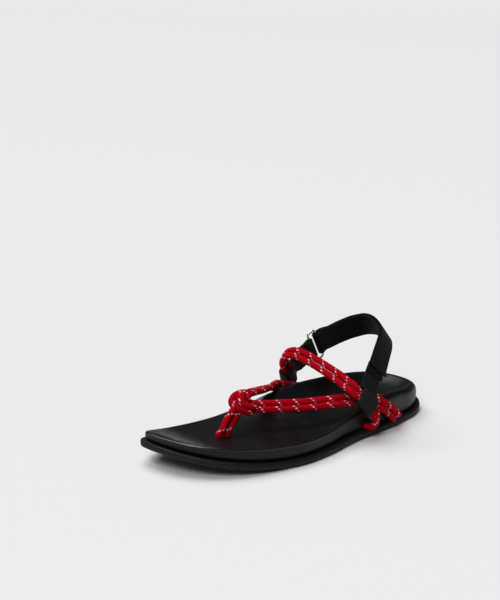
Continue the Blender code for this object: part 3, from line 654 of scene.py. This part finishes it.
def cord_skin(name, centres, radius, sides, joined=False):
    """A round tube along a path, its section carried along without twist."""
    last = len(centres) - 1
    loops, side = [], None
    for i, centre in enumerate(centres):
        before = centres[i - 1] if i or joined else centre
        after = centres[(i + 1) % len(centres)] if i < last or joined else centre
        run = (after - before).normalized()
        side = side or run.orthogonal()
        side = (side - run * side.dot(run)).normalized()
        over = run.cross(side)
        loops.append([centre + (side * math.cos(a) + over * math.sin(a)) * radius
                      for a in (2 * math.pi * k / sides for k in range(sides))])
    if joined:
        return skin(name, loops, joined=True)
    arounds = [k / sides for k in range(sides + 1)]
    return skin(name, loops, lengths_of(centres), arounds, capped=True)


def bundle(name, parts):
    """Several strands as one piece."""
    shape = bmesh.new()
    for strand in parts:
        shape.from_mesh(strand.data)
        bpy.data.objects.remove(strand, do_unlink=True)
    mesh = bpy.data.meshes.new(name)
    shape.to_mesh(mesh)
    shape.free()
    return add(name, mesh)


# Polyester braid: saturated red, soft sheen, yarns 1.3 mm wide crossing in chevrons, and one
# pale yarn that winds round the rope and shows as short dashes where it comes up; the red is
# painted darker down between the yarns, as painted shade
YARNS, YARN_RISE, YARN_DEPTH = 10, 0.0019, 0.0004
DASHES, DASH_PITCH = 8, 0.0144           # in one round of the pale yarn, and the round's length
DASH_LONG = (0.066, 0.046)   # shares of the pitch where half a dash ends and is full
DASH_WIDE = (0.29, 0.17)     # the same across it, as shares of a dash's part of the round
RED_IN_PAINTED_SHADE, RED, PALE_SHADE, PALE = "#5c0009", "#e3001f", "#c4a8cc", "#ffffff"
PALE_CLOUD = 0.004
braid, tree, shader = finish_of("polyester_braid", 0.70, 1.50, specular=0.05)
lay = put(tree, "UVMap", {"uv_map": "lay"}, {})
split = put(tree, "SeparateXYZ", {}, {0: lay}).node
length, turn = split.outputs[0], split.outputs[1]
steps = put(tree, "Math", {"operation": "MULTIPLY"}, {0: length, 1: 1 / YARN_RISE})
rounds = put(tree, "Math", {"operation": "MULTIPLY"}, {0: turn, 1: YARNS})
right = put(tree, "Math", {"operation": "ADD"}, {0: steps, 1: rounds})
left = put(tree, "Math", {"operation": "SUBTRACT"}, {0: steps, 1: rounds})
odd = put(tree, "Math", {"operation": "ADD"},
          {0: put(tree, "Math", {"operation": "FLOOR"}, {0: right}),
           1: put(tree, "Math", {"operation": "FLOOR"}, {0: left})})
odd = put(tree, "Math", {"operation": "FLOORED_MODULO"}, {0: odd, 1: 2.0})
across_right = put(tree, "Math", {"operation": "PINGPONG"}, {0: right, 1: 0.5})
across_left = put(tree, "Math", {"operation": "PINGPONG"}, {0: left, 1: 0.5})
yarn = put(tree, "Mix", {}, {0: odd, 2: across_right, 3: across_left})
yarn = put(tree, "MapRange", SMOOTH_STEP, {0: yarn, 1: 0.0, 2: 0.42})
cells = put(tree, "Math", {"operation": "MULTIPLY"}, {0: turn, 1: DASHES})
cell = put(tree, "Math", {"operation": "FLOOR"}, {0: cells})
inside = put(tree, "Math", {"operation": "SUBTRACT"}, {0: cells, 1: cell})
inside = put(tree, "Math", {"operation": "SUBTRACT"}, {0: inside, 1: 0.5})
wide = put(tree, "Math", {"operation": "ABSOLUTE"}, {0: inside})
shift = put(tree, "Math", {"operation": "MULTIPLY_ADD"}, {0: cell, 1: -1 / DASHES, 2: 0.5})
tilt = put(tree, "Math", {"operation": "MULTIPLY_ADD"}, {0: inside, 1: -0.5 / DASHES, 2: shift})
winds = put(tree, "Math", {"operation": "MULTIPLY_ADD"}, {0: length, 1: 1 / DASH_PITCH, 2: tilt})
long = put(tree, "Math", {"operation": "FRACT"}, {0: winds})
long = put(tree, "Math", {"operation": "SUBTRACT"}, {0: long, 1: 0.5})
long = put(tree, "Math", {"operation": "ABSOLUTE"}, {0: long})
long = put(tree, "MapRange", SMOOTH_STEP, {0: long, 1: DASH_LONG[0], 2: DASH_LONG[1]})
wide = put(tree, "MapRange", SMOOTH_STEP, {0: wide, 1: DASH_WIDE[0], 2: DASH_WIDE[1]})
dash = put(tree, "Math", {"operation": "MULTIPLY"}, {0: long, 1: wide})
# painted shade: the red goes dark where a yarn dips down between its neighbours
reds_with_painted_shade = put(tree, "Mix", OF_COLOURS, {0: yarn, 6: linear(RED_IN_PAINTED_SHADE), 7: linear(RED)}, 2)
pales = mottle(tree, PALE_CLOUD, 0.40, 0.60, PALE_SHADE, PALE, 3.0)
colour = put(tree, "Mix", OF_COLOURS, {0: dash, 6: reds_with_painted_shade, 7: pales}, 2)
tree.links.new(colour, shader.inputs["Base Color"])
bump = put(tree, "Bump", {}, {"Strength": 1.0, "Distance": YARN_DEPTH, "Height": yarn})
tree.links.new(bump, shader.inputs["Normal"])

routes = [post(rows, *foot) for rows, foot in zip((POST_FRONT, POST_REAR), POST_FOOT)]
routes += [[place(*row) for row in rows]
           for rows in (KNOT_LOW_TURN, KNOT_HIGH_TURN, KNOT_OUTER_LOOP, KNOT_INNER_LOOP)]
routes += list(strands(*anchored(LATERAL_PAIR, end=(REAR_ANCHOR, 1))))
routes += list(strands(*anchored(MEDIAL_PAIR, end=(REAR_ANCHOR, -1))))
toe_rope = bundle("toe_rope_braid", [
    cord_skin("strand", smooth(route, ROPE_STEP), RADIUS, ROPE_SIDES) for route in routes])
fit(toe_rope, braid, "toe_rope")

# Instep ropes
# A second length of the same braid, laid double from a hole low on the lateral side over
# the instep to the medial side. The webbing at both sides is folded round it.

# from the lateral to the medial side, in the same order as the toe rope's pairs
INSTEP_PAIR = [
    (0.957, 0.3296, 0.065, -0.55, 0.83, 0),
    (1.028, 0.3311, 0.122, -0.7, 0.7, 0),
    (1.041, 0.3385, 0.194, -0.5, 0.75, 0.4),
    (1.011, 0.35, 0.284, -0.35, 0.7, 0.61),
    (0.968, 0.3704, 0.354, -0.35, 0.7, 0.61),
    (0.923, 0.3907, 0.418, -0.35, 0.7, 0.61),
    (0.873, 0.4059, 0.472, -0.33, 0.71, 0.6),
    (0.8, 0.4074, 0.498, -0.18, 0.74, 0.63),
    (0.688, 0.4067, 0.507, 0.05, 0.75, 0.66),
    (0.473, 0.4026, 0.539, 0, 0.75, 0.66),
    (0, 0.4074, 0.61, 0, 0.75, 0.66),
    (-0.323, 0.413, 0.65, 0, 0.75, 0.66),
    (-0.559, 0.4185, 0.665, -0.05, 0.75, 0.66),
    (-0.731, 0.4241, 0.64, -0.3, 0.8, 0.5),
    (-0.839, 0.4241, 0.573, -0.5, 0.8, 0.3),
    (-0.895, 0.4141, 0.512, -0.35, 0.85, 0.4),
    (-0.938, 0.3963, 0.451, -0.15, 0.92, 0.36),
    (-0.976, 0.3833, 0.39, -0.1, 0.93, 0.36),
    (-1.015, 0.3741, 0.327, -0.1, 0.93, 0.36),
    (-1.049, 0.3652, 0.261, -0.1, 0.93, 0.36),
    (-1.075, 0.3541, 0.193, -0.1, 0.95, 0.3),
    (-1.037, 0.3363, 0.117, -0.1, 0.97, 0.25),
    (-0.925, 0.3296, 0.061, 0, 1, 0.1),
]

instep_pair = strands(*anchored(INSTEP_PAIR, (FRONT_ANCHOR, 1), (FRONT_ANCHOR, -1)))
for name, route in zip(("rear", "front"), instep_pair):
    strand = cord_skin(f"instep_{name}_braid", smooth(route, ROPE_STEP), RADIUS, ROPE_SIDES)
    fit(strand, braid, f"instep_rope_{name}")

# Strap ring
# A rectangular loop of plated wire, closed by a weld, between the medial webbing and the
# heel strap.

RING_WIRE = 0.0022
RING_LONG = 0.0270           # inside, along the bars that the strap and the webbing go round
RING_SHORT = 0.0062          # inside, between those bars
RING_CORNER = 1.35 * RING_WIRE           # radius of the wire's middle line at a corner
CORNER_PARTS, TURN_PARTS, WIRE_SIDES = 6, 10, 14
RING_REAR = place(-0.892, 0.2604, 0.641)     # middle of the rear bar
RING_AHEAD = Vector((-0.10, -0.88, -0.46)).normalized()
RING_ALONG = Vector((0.0, -0.48, 0.88))
RING_ALONG = (RING_ALONG - RING_AHEAD * RING_ALONG.dot(RING_AHEAD)).normalized()
RING_OUT = RING_ALONG.cross(RING_AHEAD).normalized()
if RING_OUT.x > 0:
    RING_OUT = -RING_OUT
RING_FRONT = RING_REAR + RING_AHEAD * (RING_SHORT + RING_WIRE)


def ring_path():
    """The wire's middle line, with round corners."""
    half_long, half_short = RING_LONG / 2 + RING_WIRE / 2, (RING_SHORT + RING_WIRE) / 2
    middle = (RING_REAR + RING_FRONT) / 2
    points = []
    for a, b, turn in ((1, 1, 0), (-1, 1, 90), (-1, -1, 180), (1, -1, 270)):
        for n in range(CORNER_PARTS + 1):
            angle = math.radians(turn + 90 * n / CORNER_PARTS)
            ahead = a * (half_short - RING_CORNER) + RING_CORNER * math.cos(angle)
            aside = b * (half_long - RING_CORNER) + RING_CORNER * math.sin(angle)
            points.append(middle + RING_AHEAD * ahead + RING_ALONG * aside)
    return points


# Plated steel wire: pale gold, polished, with faint rubbing marks
PLATING_CLOUD, RUB_MARKS = 0.003, 0.0008
plated, tree, shader = finish_of("plated_steel", 0.20, 1.50, 1.0)
colour = mottle(tree, PLATING_CLOUD, 0.35, 0.65, "#cfc3ae", "#e6dccb")
tree.links.new(colour, shader.inputs["Base Color"])
here = put(tree, "TexCoord", {}, {}, "Object")
rubbed = put(tree, "TexNoise", {}, {"Vector": here, "Scale": 1 / RUB_MARKS, "Detail": 3.0})
gloss = put(tree, "MapRange", {}, {0: rubbed, 1: 0.3, 2: 0.7, 3: 0.15, 4: 0.30})
tree.links.new(gloss, shader.inputs["Roughness"])
wire = cord_skin("ring_wire", ring_path(), RING_WIRE / 2, WIRE_SIDES, joined=True)
fit(wire, plated, "strap_ring")

# Heel strap
# A black woven strap from the lateral side round the heel. It goes through the ring and
# comes back inside itself, where hook and loop holds the two layers together.

STRAP_WIDTH = 0.0210
STRAP_THICK = 0.0018
STRAP_PLY = 0.0006           # hook and loop between the two layers
FLAP_SHORT = 3               # cross-sections by which the flap ends before the inner layer
FLAP_LIFT = 0.0016           # how far the flap's end stands off
FLAP_LEAN = 0.0060           # length of the part that does
LAYERS_MEET = 2.5 * RING_WIRE            # from the ring's rear bar to where they do
BAND_STEP = 0.0014           # between cross-sections
BAND_FACE, BAND_EDGE = 10, 6             # parts of a section's flat faces and round edges
# middle of the strap from the ring to the lateral side, then the way across its width
HEEL_BAND = [
    (-0.877, 0.2148, 0.68, 0.05, -0.3, 0.95),
    (-0.817, 0.1796, 0.722, 0.1, -0.18, 0.98),
    (-0.667, 0.1463, 0.78, 0.18, -0.15, 0.97),
    (-0.462, 0.1315, 0.829, 0.12, -0.4, 0.9),
    (-0.215, 0.1389, 0.866, 0.05, -0.5, 0.85),
    (0.065, 0.1578, 0.88, -0.05, -0.56, 0.83),
    (0.331, 0.1807, 0.866, -0.12, -0.6, 0.79),
    (0.525, 0.2096, 0.832, -0.12, -0.52, 0.84),
    (0.649, 0.2396, 0.787, -0.12, -0.5, 0.85),
    (0.744, 0.2685, 0.723, -0.12, -0.55, 0.82),
    (0.824, 0.2952, 0.646, -0.1, -0.66, 0.74),
    (0.873, 0.3167, 0.566, -0.15, -0.7, 0.68),
]


def square(ways, points):
    """Widths made square to the path."""
    result = []
    for i, way in enumerate(ways):
        run = (points[min(i + 1, len(points) - 1)] - points[max(i - 1, 0)]).normalized()
        result.append((way - run * way.dot(run)).normalized())
    return result


def fine(points, ways):
    """A band's path and widths, sampled smoothly."""
    both = smooth([Vector((*point, *way)) for point, way in zip(points, ways)], BAND_STEP)
    path = [Vector(row[:3]) for row in both]
    return path, square([way_of(row) for row in both], path)


def half_turn(bar, side, past, radius):
    """Half a turn round a bar of the ring, from one side of it round its far face."""
    return [bar + (side * math.cos(a) + past * math.sin(a)) * radius
            for a in (math.pi * n / TURN_PARTS for n in range(TURN_PARTS + 1))]


def band_skin(name, centres, acrosses, width, thickness, joined=False):
    """A woven band with round selvedges; its UVs are metres along and across."""
    reach, half = width / 2 - thickness / 2, thickness / 2
    section = [(-reach + 2 * reach * n / BAND_FACE, half) for n in range(BAND_FACE + 1)]
    section += [(reach + half * math.sin(a), half * math.cos(a))
                for a in (math.pi * n / BAND_EDGE for n in range(1, BAND_EDGE))]
    section += [(-u, -v) for u, v in section]
    loops = []
    last = len(centres) - 1
    for i, (centre, across) in enumerate(zip(centres, acrosses)):
        before = centres[i - 1] if i or joined else centre
        after = centres[(i + 1) % len(centres)] if i < last or joined else centre
        run = (after - before).normalized()
        across = (across - run * across.dot(run)).normalized()
        out = across.cross(run)
        loops.append([centre + across * u + out * v for u, v in section])
    lengths = lengths_of(list(centres) + ([centres[0]] if joined else []))
    arounds = [u if v >= 0 else width - u for u, v in section] + [-reach]
    return skin(name, loops, lengths, arounds, joined=joined, capped=not joined)


YARN_SHARE = 0.35            # how high the yarns along a band stand, next to its ribs


def woven(name, rib, rib_rise, yarn, dark, light, roughness, slant):
    """Woven band: ribs across it and yarns along it, in metres; slant leans the ribs."""
    cloth, tree, shader = finish_of(name, roughness, 1.50, specular=0.12)
    lay = put(tree, "UVMap", {"uv_map": "lay"}, {})
    split = put(tree, "SeparateXYZ", {}, {0: lay}).node
    length, width = split.outputs[0], split.outputs[1]
    leaned = put(tree, "Math", {"operation": "MULTIPLY_ADD"}, {0: width, 1: slant, 2: length})
    ribs = put(tree, "Math", {"operation": "PINGPONG"}, {0: leaned, 1: rib / 2})
    ribs = put(tree, "MapRange", SMOOTH_STEP, {0: ribs, 1: 0.0, 2: 0.45 * rib})
    yarns = put(tree, "Math", {"operation": "PINGPONG"}, {0: width, 1: yarn / 2})
    yarns = put(tree, "MapRange", SMOOTH_STEP, {0: yarns, 1: 0.0, 2: 0.45 * yarn})
    height = put(tree, "Math", {"operation": "MULTIPLY_ADD"}, {0: yarns, 1: YARN_SHARE, 2: ribs})
    # painted shade and highlight: the colour is darker down in the grooves and lighter on the rib
    # tops
    painted_groove_shade = put(tree, "MapRange", {}, {0: height, 1: 0.1, 2: 1.3})
    colour = put(tree, "Mix", OF_COLOURS, {0: painted_groove_shade, 6: linear(dark), 7: linear(light)}, 2)
    tree.links.new(colour, shader.inputs["Base Color"])
    bump = put(tree, "Bump", {}, {"Strength": 0.8, "Distance": rib_rise, "Height": height})
    tree.links.new(bump, shader.inputs["Normal"])
    return cloth


# Nylon strap, twill woven: black, dull. Its twill lines are drawn 1.5 mm apart, coarser than
# the real 0.8 mm, so that they show, with painted shade in their grooves and a painted
# highlight on their tops
strap_cloth = woven("nylon_twill_strap", rib=0.0015, rib_rise=0.00020, yarn=0.0007,
                    dark="#000000", light="#161617", roughness=0.70, slant=0.7)

points = [RING_REAR - RING_AHEAD * LAYERS_MEET] + [place(*row[:3]) for row in HEEL_BAND]
ways = [RING_ALONG] + [way_of(row) for row in HEEL_BAND]
path, across = fine(points, ways)
reach = (STRAP_THICK + STRAP_PLY) / 2
outer, inner = [], []
for i, point in enumerate(path):
    run = (path[min(i + 1, len(path) - 1)] - path[max(i - 1, 0)]).normalized()
    out = across[i].cross(run).normalized()
    lift = max(0, 1 - (len(path) - 1 - i - FLAP_SHORT) * BAND_STEP / FLAP_LEAN)
    outer.append(point + out * (reach + lift * lift * FLAP_LIFT))
    inner.append(point - out * reach)
wrap = (RING_WIRE + STRAP_THICK) / 2 + 2 * GAP
turn = half_turn(RING_REAR, RING_OUT, RING_AHEAD, wrap)
centres = list(reversed(outer[:-FLAP_SHORT])) + turn + inner
ways = list(reversed(across[:-FLAP_SHORT])) + [RING_ALONG] * len(turn) + across
strap = band_skin("heel_strap_cloth", centres, ways, STRAP_WIDTH, STRAP_THICK)
fit(strap, strap_cloth, "heel_strap")
strap_path, strap_across = path, across

# Side webbing
# Ribbed black webbing folded round the instep rope at each side and sewn to itself. The
# lateral one goes up under the heel strap, the medial one round the ring's front bar.

WEB_WIDTH = 0.0183
WEB_THICK = 0.0015
FOLD_EASE = 0.0011           # between the folded webbing and the ropes in it
FOLD_TURN = 15               # degrees between its cross-sections
# rows of INSTEP_PAIR: the middle of a fold, then those whose line is the ropes' way there
LATERAL_FOLD, MEDIAL_FOLD = (4, 6, 3), (18, 16, 19)
# middle of the lateral webbing below the strap, then the way across its width
WEB_RISER = (0.837, 0.3289, 0.49, -0.24, -0.7, 0.67)
LAP = 0.0096                 # length of the webbing's end sewn under the strap
LAP_EVERY = 3                # one of so many of the strap's cross-sections guides it there
LEAVES_MEET = 2.3 * RING_WIRE            # from the ring's front bar to where they are sewn
LEAF_PARTS = 10


def fold(middle, up, out):
    """Webbing round the instep pair, from the outer leaf to the inner leaf that is sewn to it."""
    clear = RADIUS + FOLD_EASE + WEB_THICK / 2
    reach = (ROPE + PAIR_GAP) / 2
    lean = 0.55 * clear
    seam = reach + 1.2 * ROPE
    # how far up from the pair's middle, and how far out
    rows = [(seam, lean), (reach + 0.54 * ROPE, 0.86 * clear),
            (reach * 0.6, clear), (-reach * 0.3, clear)]
    rows += [(-reach - clear * math.sin(math.radians(angle)), clear * math.cos(math.radians(angle)))
             for angle in range(0, 181, FOLD_TURN)]
    rows += [(-reach * 0.3, -clear)]
    rows += [(reach + clear * math.sin(math.radians(angle)), -clear * math.cos(math.radians(angle)))
             for angle in (0, 26, 52)]
    rows += [(seam, lean - WEB_THICK - GAP)]
    return [middle + up * u + out * n for u, n in rows]


def fold_frame(rows_of_fold, side):
    """Middle, axis, upward and outward directions of a fold; side is 1 for the lateral one."""
    centre_row, first_row, last_row = (INSTEP_PAIR[i] for i in rows_of_fold)
    middle = place(*centre_row[:3])
    axis = (place(*first_row[:3]) - place(*last_row[:3])).normalized()
    up = way_of(centre_row)
    up = (up - axis * up.dot(axis)).normalized()
    out = up.cross(axis).normalized()
    if out.x * side < 0:
        out = -out
    return middle, axis, up, out


# Nylon grosgrain webbing: black, dull. Its ribs across it are drawn 1.7 mm apart, coarser
# than the real 1.1 mm, so that they show, with painted shade between the ribs and a painted
# highlight on their tops
grosgrain = woven("nylon_grosgrain", rib=0.0017, rib_rise=0.00040, yarn=0.0008,
                  dark="#000000", light="#2a2a2c", roughness=0.65, slant=0.0)

# Polyester sewing thread: black, a little shinier than the webbing
thread, tree, shader = finish_of("polyester_thread", 0.45, 1.50, specular=0.3)
shader.inputs["Base Color"].default_value = linear("#1b1b1d")

THREAD = 0.0005              # thickness of the thread
THREAD_SIDES = 6
STITCH = 0.0026              # length of a stitch, with its hole
# the arch of a stitch: along it as a share of its length, out as a share of the thickness
ARCH = [(-0.42, -0.6), (-0.30, 0.3), (0.30, 0.3), (0.42, -0.6)]
# the lateral rows, two above the fold and two where the webbing joins the strap: cross-section
# of the webbing, and 1 for its outside or -1 for its inside
LATERAL_ROWS = [(-4, 1), (-6, 1), (1, -1), (4, -1)]


def stitches(name, spot, across, out):
    """A row of stitches across a webbing, each an arched length of thread between two holes."""
    count = int((WEB_WIDTH - STITCH) / STITCH)
    row = []
    for n in range(count):
        middle = spot + across * (n + 0.5 - count / 2) * STITCH
        arch = [middle + across * STITCH * reach + out * THREAD * rise for reach, rise in ARCH]
        row.append(cord_skin(f"{name}_{n}", arch, THREAD / 2, THREAD_SIDES))
    return bundle(name, row)


middle, axis, up, out = fold_frame(LATERAL_FOLD, 1)
under = (STRAP_THICK + STRAP_PLY) / 2 + STRAP_THICK / 2 + GAP + WEB_THICK / 2
points, ways = [], []
for i in range(len(strap_path) - round(LAP / BAND_STEP), len(strap_path), LAP_EVERY):
    run = (strap_path[min(i + 1, len(strap_path) - 1)] - strap_path[i - 1]).normalized()
    points.append(strap_path[i] - strap_across[i].cross(run).normalized() * under)
    ways.append(strap_across[i])
loop = smooth(fold(middle, up, -out)[::-1], BAND_STEP)
path, across = fine(points + [place(*WEB_RISER[:3]), loop[0]], ways + [way_of(WEB_RISER), axis])
rows = []
for i, side in LATERAL_ROWS:
    face = across[i].cross(path[i] - path[i - 1]).normalized() * side
    rows.append(stitches(f"lateral_row_{i}", path[i] + face * WEB_THICK / 2, across[i], face))
fit(bundle("lateral_stitches", rows), thread, "webbing_lateral")
lateral = band_skin("lateral_webbing_cloth", path + loop[1:], across + [axis] * (len(loop) - 1),
                    WEB_WIDTH, WEB_THICK)
fit(lateral, grosgrain, "webbing_lateral")


def leaf_between(start, end, start_way, end_way):
    """Middle and widths of the straight webbing between the fold and the ring."""
    shares = [n / LEAF_PARTS for n in range(1, LEAF_PARTS)]
    return ([start.lerp(end, share) for share in shares],
            [start_way.lerp(end_way, share).normalized() for share in shares])


middle, axis, up, out = fold_frame(MEDIAL_FOLD, -1)
loop = smooth(fold(middle, up, out), BAND_STEP)
wrap = (RING_WIRE + WEB_THICK) / 2 + GAP
leaf = (WEB_THICK + GAP) / 2
near = RING_FRONT + RING_AHEAD * LEAVES_MEET
turn = [near - RING_OUT * leaf, *half_turn(RING_FRONT, -RING_OUT, -RING_AHEAD, wrap),
        near + RING_OUT * leaf]
inner_leaf, inner_ways = leaf_between(loop[-1], turn[0], axis, RING_ALONG)
outer_leaf, outer_ways = leaf_between(turn[-1], loop[0], RING_ALONG, axis)
centres = loop + inner_leaf + turn + outer_leaf
ways = [axis] * len(loop) + inner_ways + [RING_ALONG] * len(turn) + outer_ways
rows = [stitches(f"medial_row_{side}", near + RING_OUT * side * (leaf + WEB_THICK / 2), RING_ALONG,
                 RING_OUT * side) for side in (1, -1)]
fit(bundle("medial_stitches", rows), thread, "webbing_medial")
medial = band_skin("medial_webbing_cloth", centres, ways, WEB_WIDTH, WEB_THICK, joined=True)
fit(medial, grosgrain, "webbing_medial")

# Floor and light
# A plain pale studio floor that runs out of the picture, a wide softbox overhead, a smaller
# one high in front of the toe, and a pale surround.

FLOOR_REACH = 60.0
FLOOR_SIDES = 48
PALE_GREY = "#ececec"
SURROUND, BACKDROP = 0.10, 0.962         # its light on the sandal, and how bright it is seen

# Studio paper: matt, so that the sandal is not mirrored in it
paper, tree, shader = finish_of("studio_paper", 0.9, 1.45)
shader.inputs["Base Color"].default_value = linear(PALE_GREY)
mesh = bpy.data.meshes.new("studio_floor")
mesh.from_pydata([(math.cos(a) * FLOOR_REACH, math.sin(a) * FLOOR_REACH, 0)
                  for a in (2 * math.pi * k / FLOOR_SIDES for k in range(FLOOR_SIDES))],
                 [], [tuple(range(FLOOR_SIDES))])
mesh.materials.append(paper)
add("studio_floor", mesh)

world = bpy.data.worlds.new("studio")
bpy.context.scene.world = world
world.use_nodes = True
tree = world.node_tree
seen = put(tree, "LightPath", {}, {})
level = put(tree, "MapRange", {}, {0: seen, 1: 0.0, 2: 1.0, 3: SURROUND, 4: BACKDROP})
tree.links.new(level, tree.nodes["Background"].inputs["Strength"])
tree.nodes["Background"].inputs["Color"].default_value = linear(PALE_GREY)

# name, strength, width seen from the sandal in degrees, and direction from the sandal
SOFTBOXES = [("front_softbox", 1.25, 28, (0.28, -0.60, 0.75)),
             ("overhead_softbox", 2.10, 50, (-0.36, -0.08, 0.93))]
for name, energy, spread, where in SOFTBOXES:
    lamp = bpy.data.lights.new(name, "SUN")
    lamp.energy = energy
    lamp.angle = math.radians(spread)
    add(name, lamp).rotation_euler = Vector(where).to_track_quat("Z", "Y").to_euler()

# Camera
# The photograph's viewpoint: low, from the front of the lateral side, with a slight roll.

AZIMUTH, ELEVATION, ROLL = math.radians(48.55), math.radians(14.61), math.radians(1.2)
DISTANCE, RIGHTWARD, UPWARD = 0.9339, -0.03837, 0.11246      # from the middle of the sole
LENS, NEAREST, FARTHEST = 67.0, 0.05, 50.0
back = Vector((math.sin(AZIMUTH) * math.cos(ELEVATION),
               -math.cos(AZIMUTH) * math.cos(ELEVATION),
               math.sin(ELEVATION)))
right = Vector((math.cos(AZIMUTH), math.sin(AZIMUTH), 0))
up = back.cross(right)
right, up = (right * math.cos(ROLL) + up * math.sin(ROLL),
             up * math.cos(ROLL) - right * math.sin(ROLL))
spot = (back * DISTANCE + right * RIGHTWARD + up * UPWARD
        - Vector((0, (0.5 - REST_SHARE) * FOOT_LENGTH, 0)))
camera_data = bpy.data.cameras.new("camera")
camera_data.lens = LENS
camera_data.clip_start = NEAREST
camera_data.clip_end = FARTHEST
camera = add("camera", camera_data)
stance = Matrix((right, up, back)).transposed().to_4x4()
stance.translation = spot
camera.matrix_world = stance
bpy.context.scene.camera = camera
bpy.context.scene.view_settings.view_transform = "Standard"
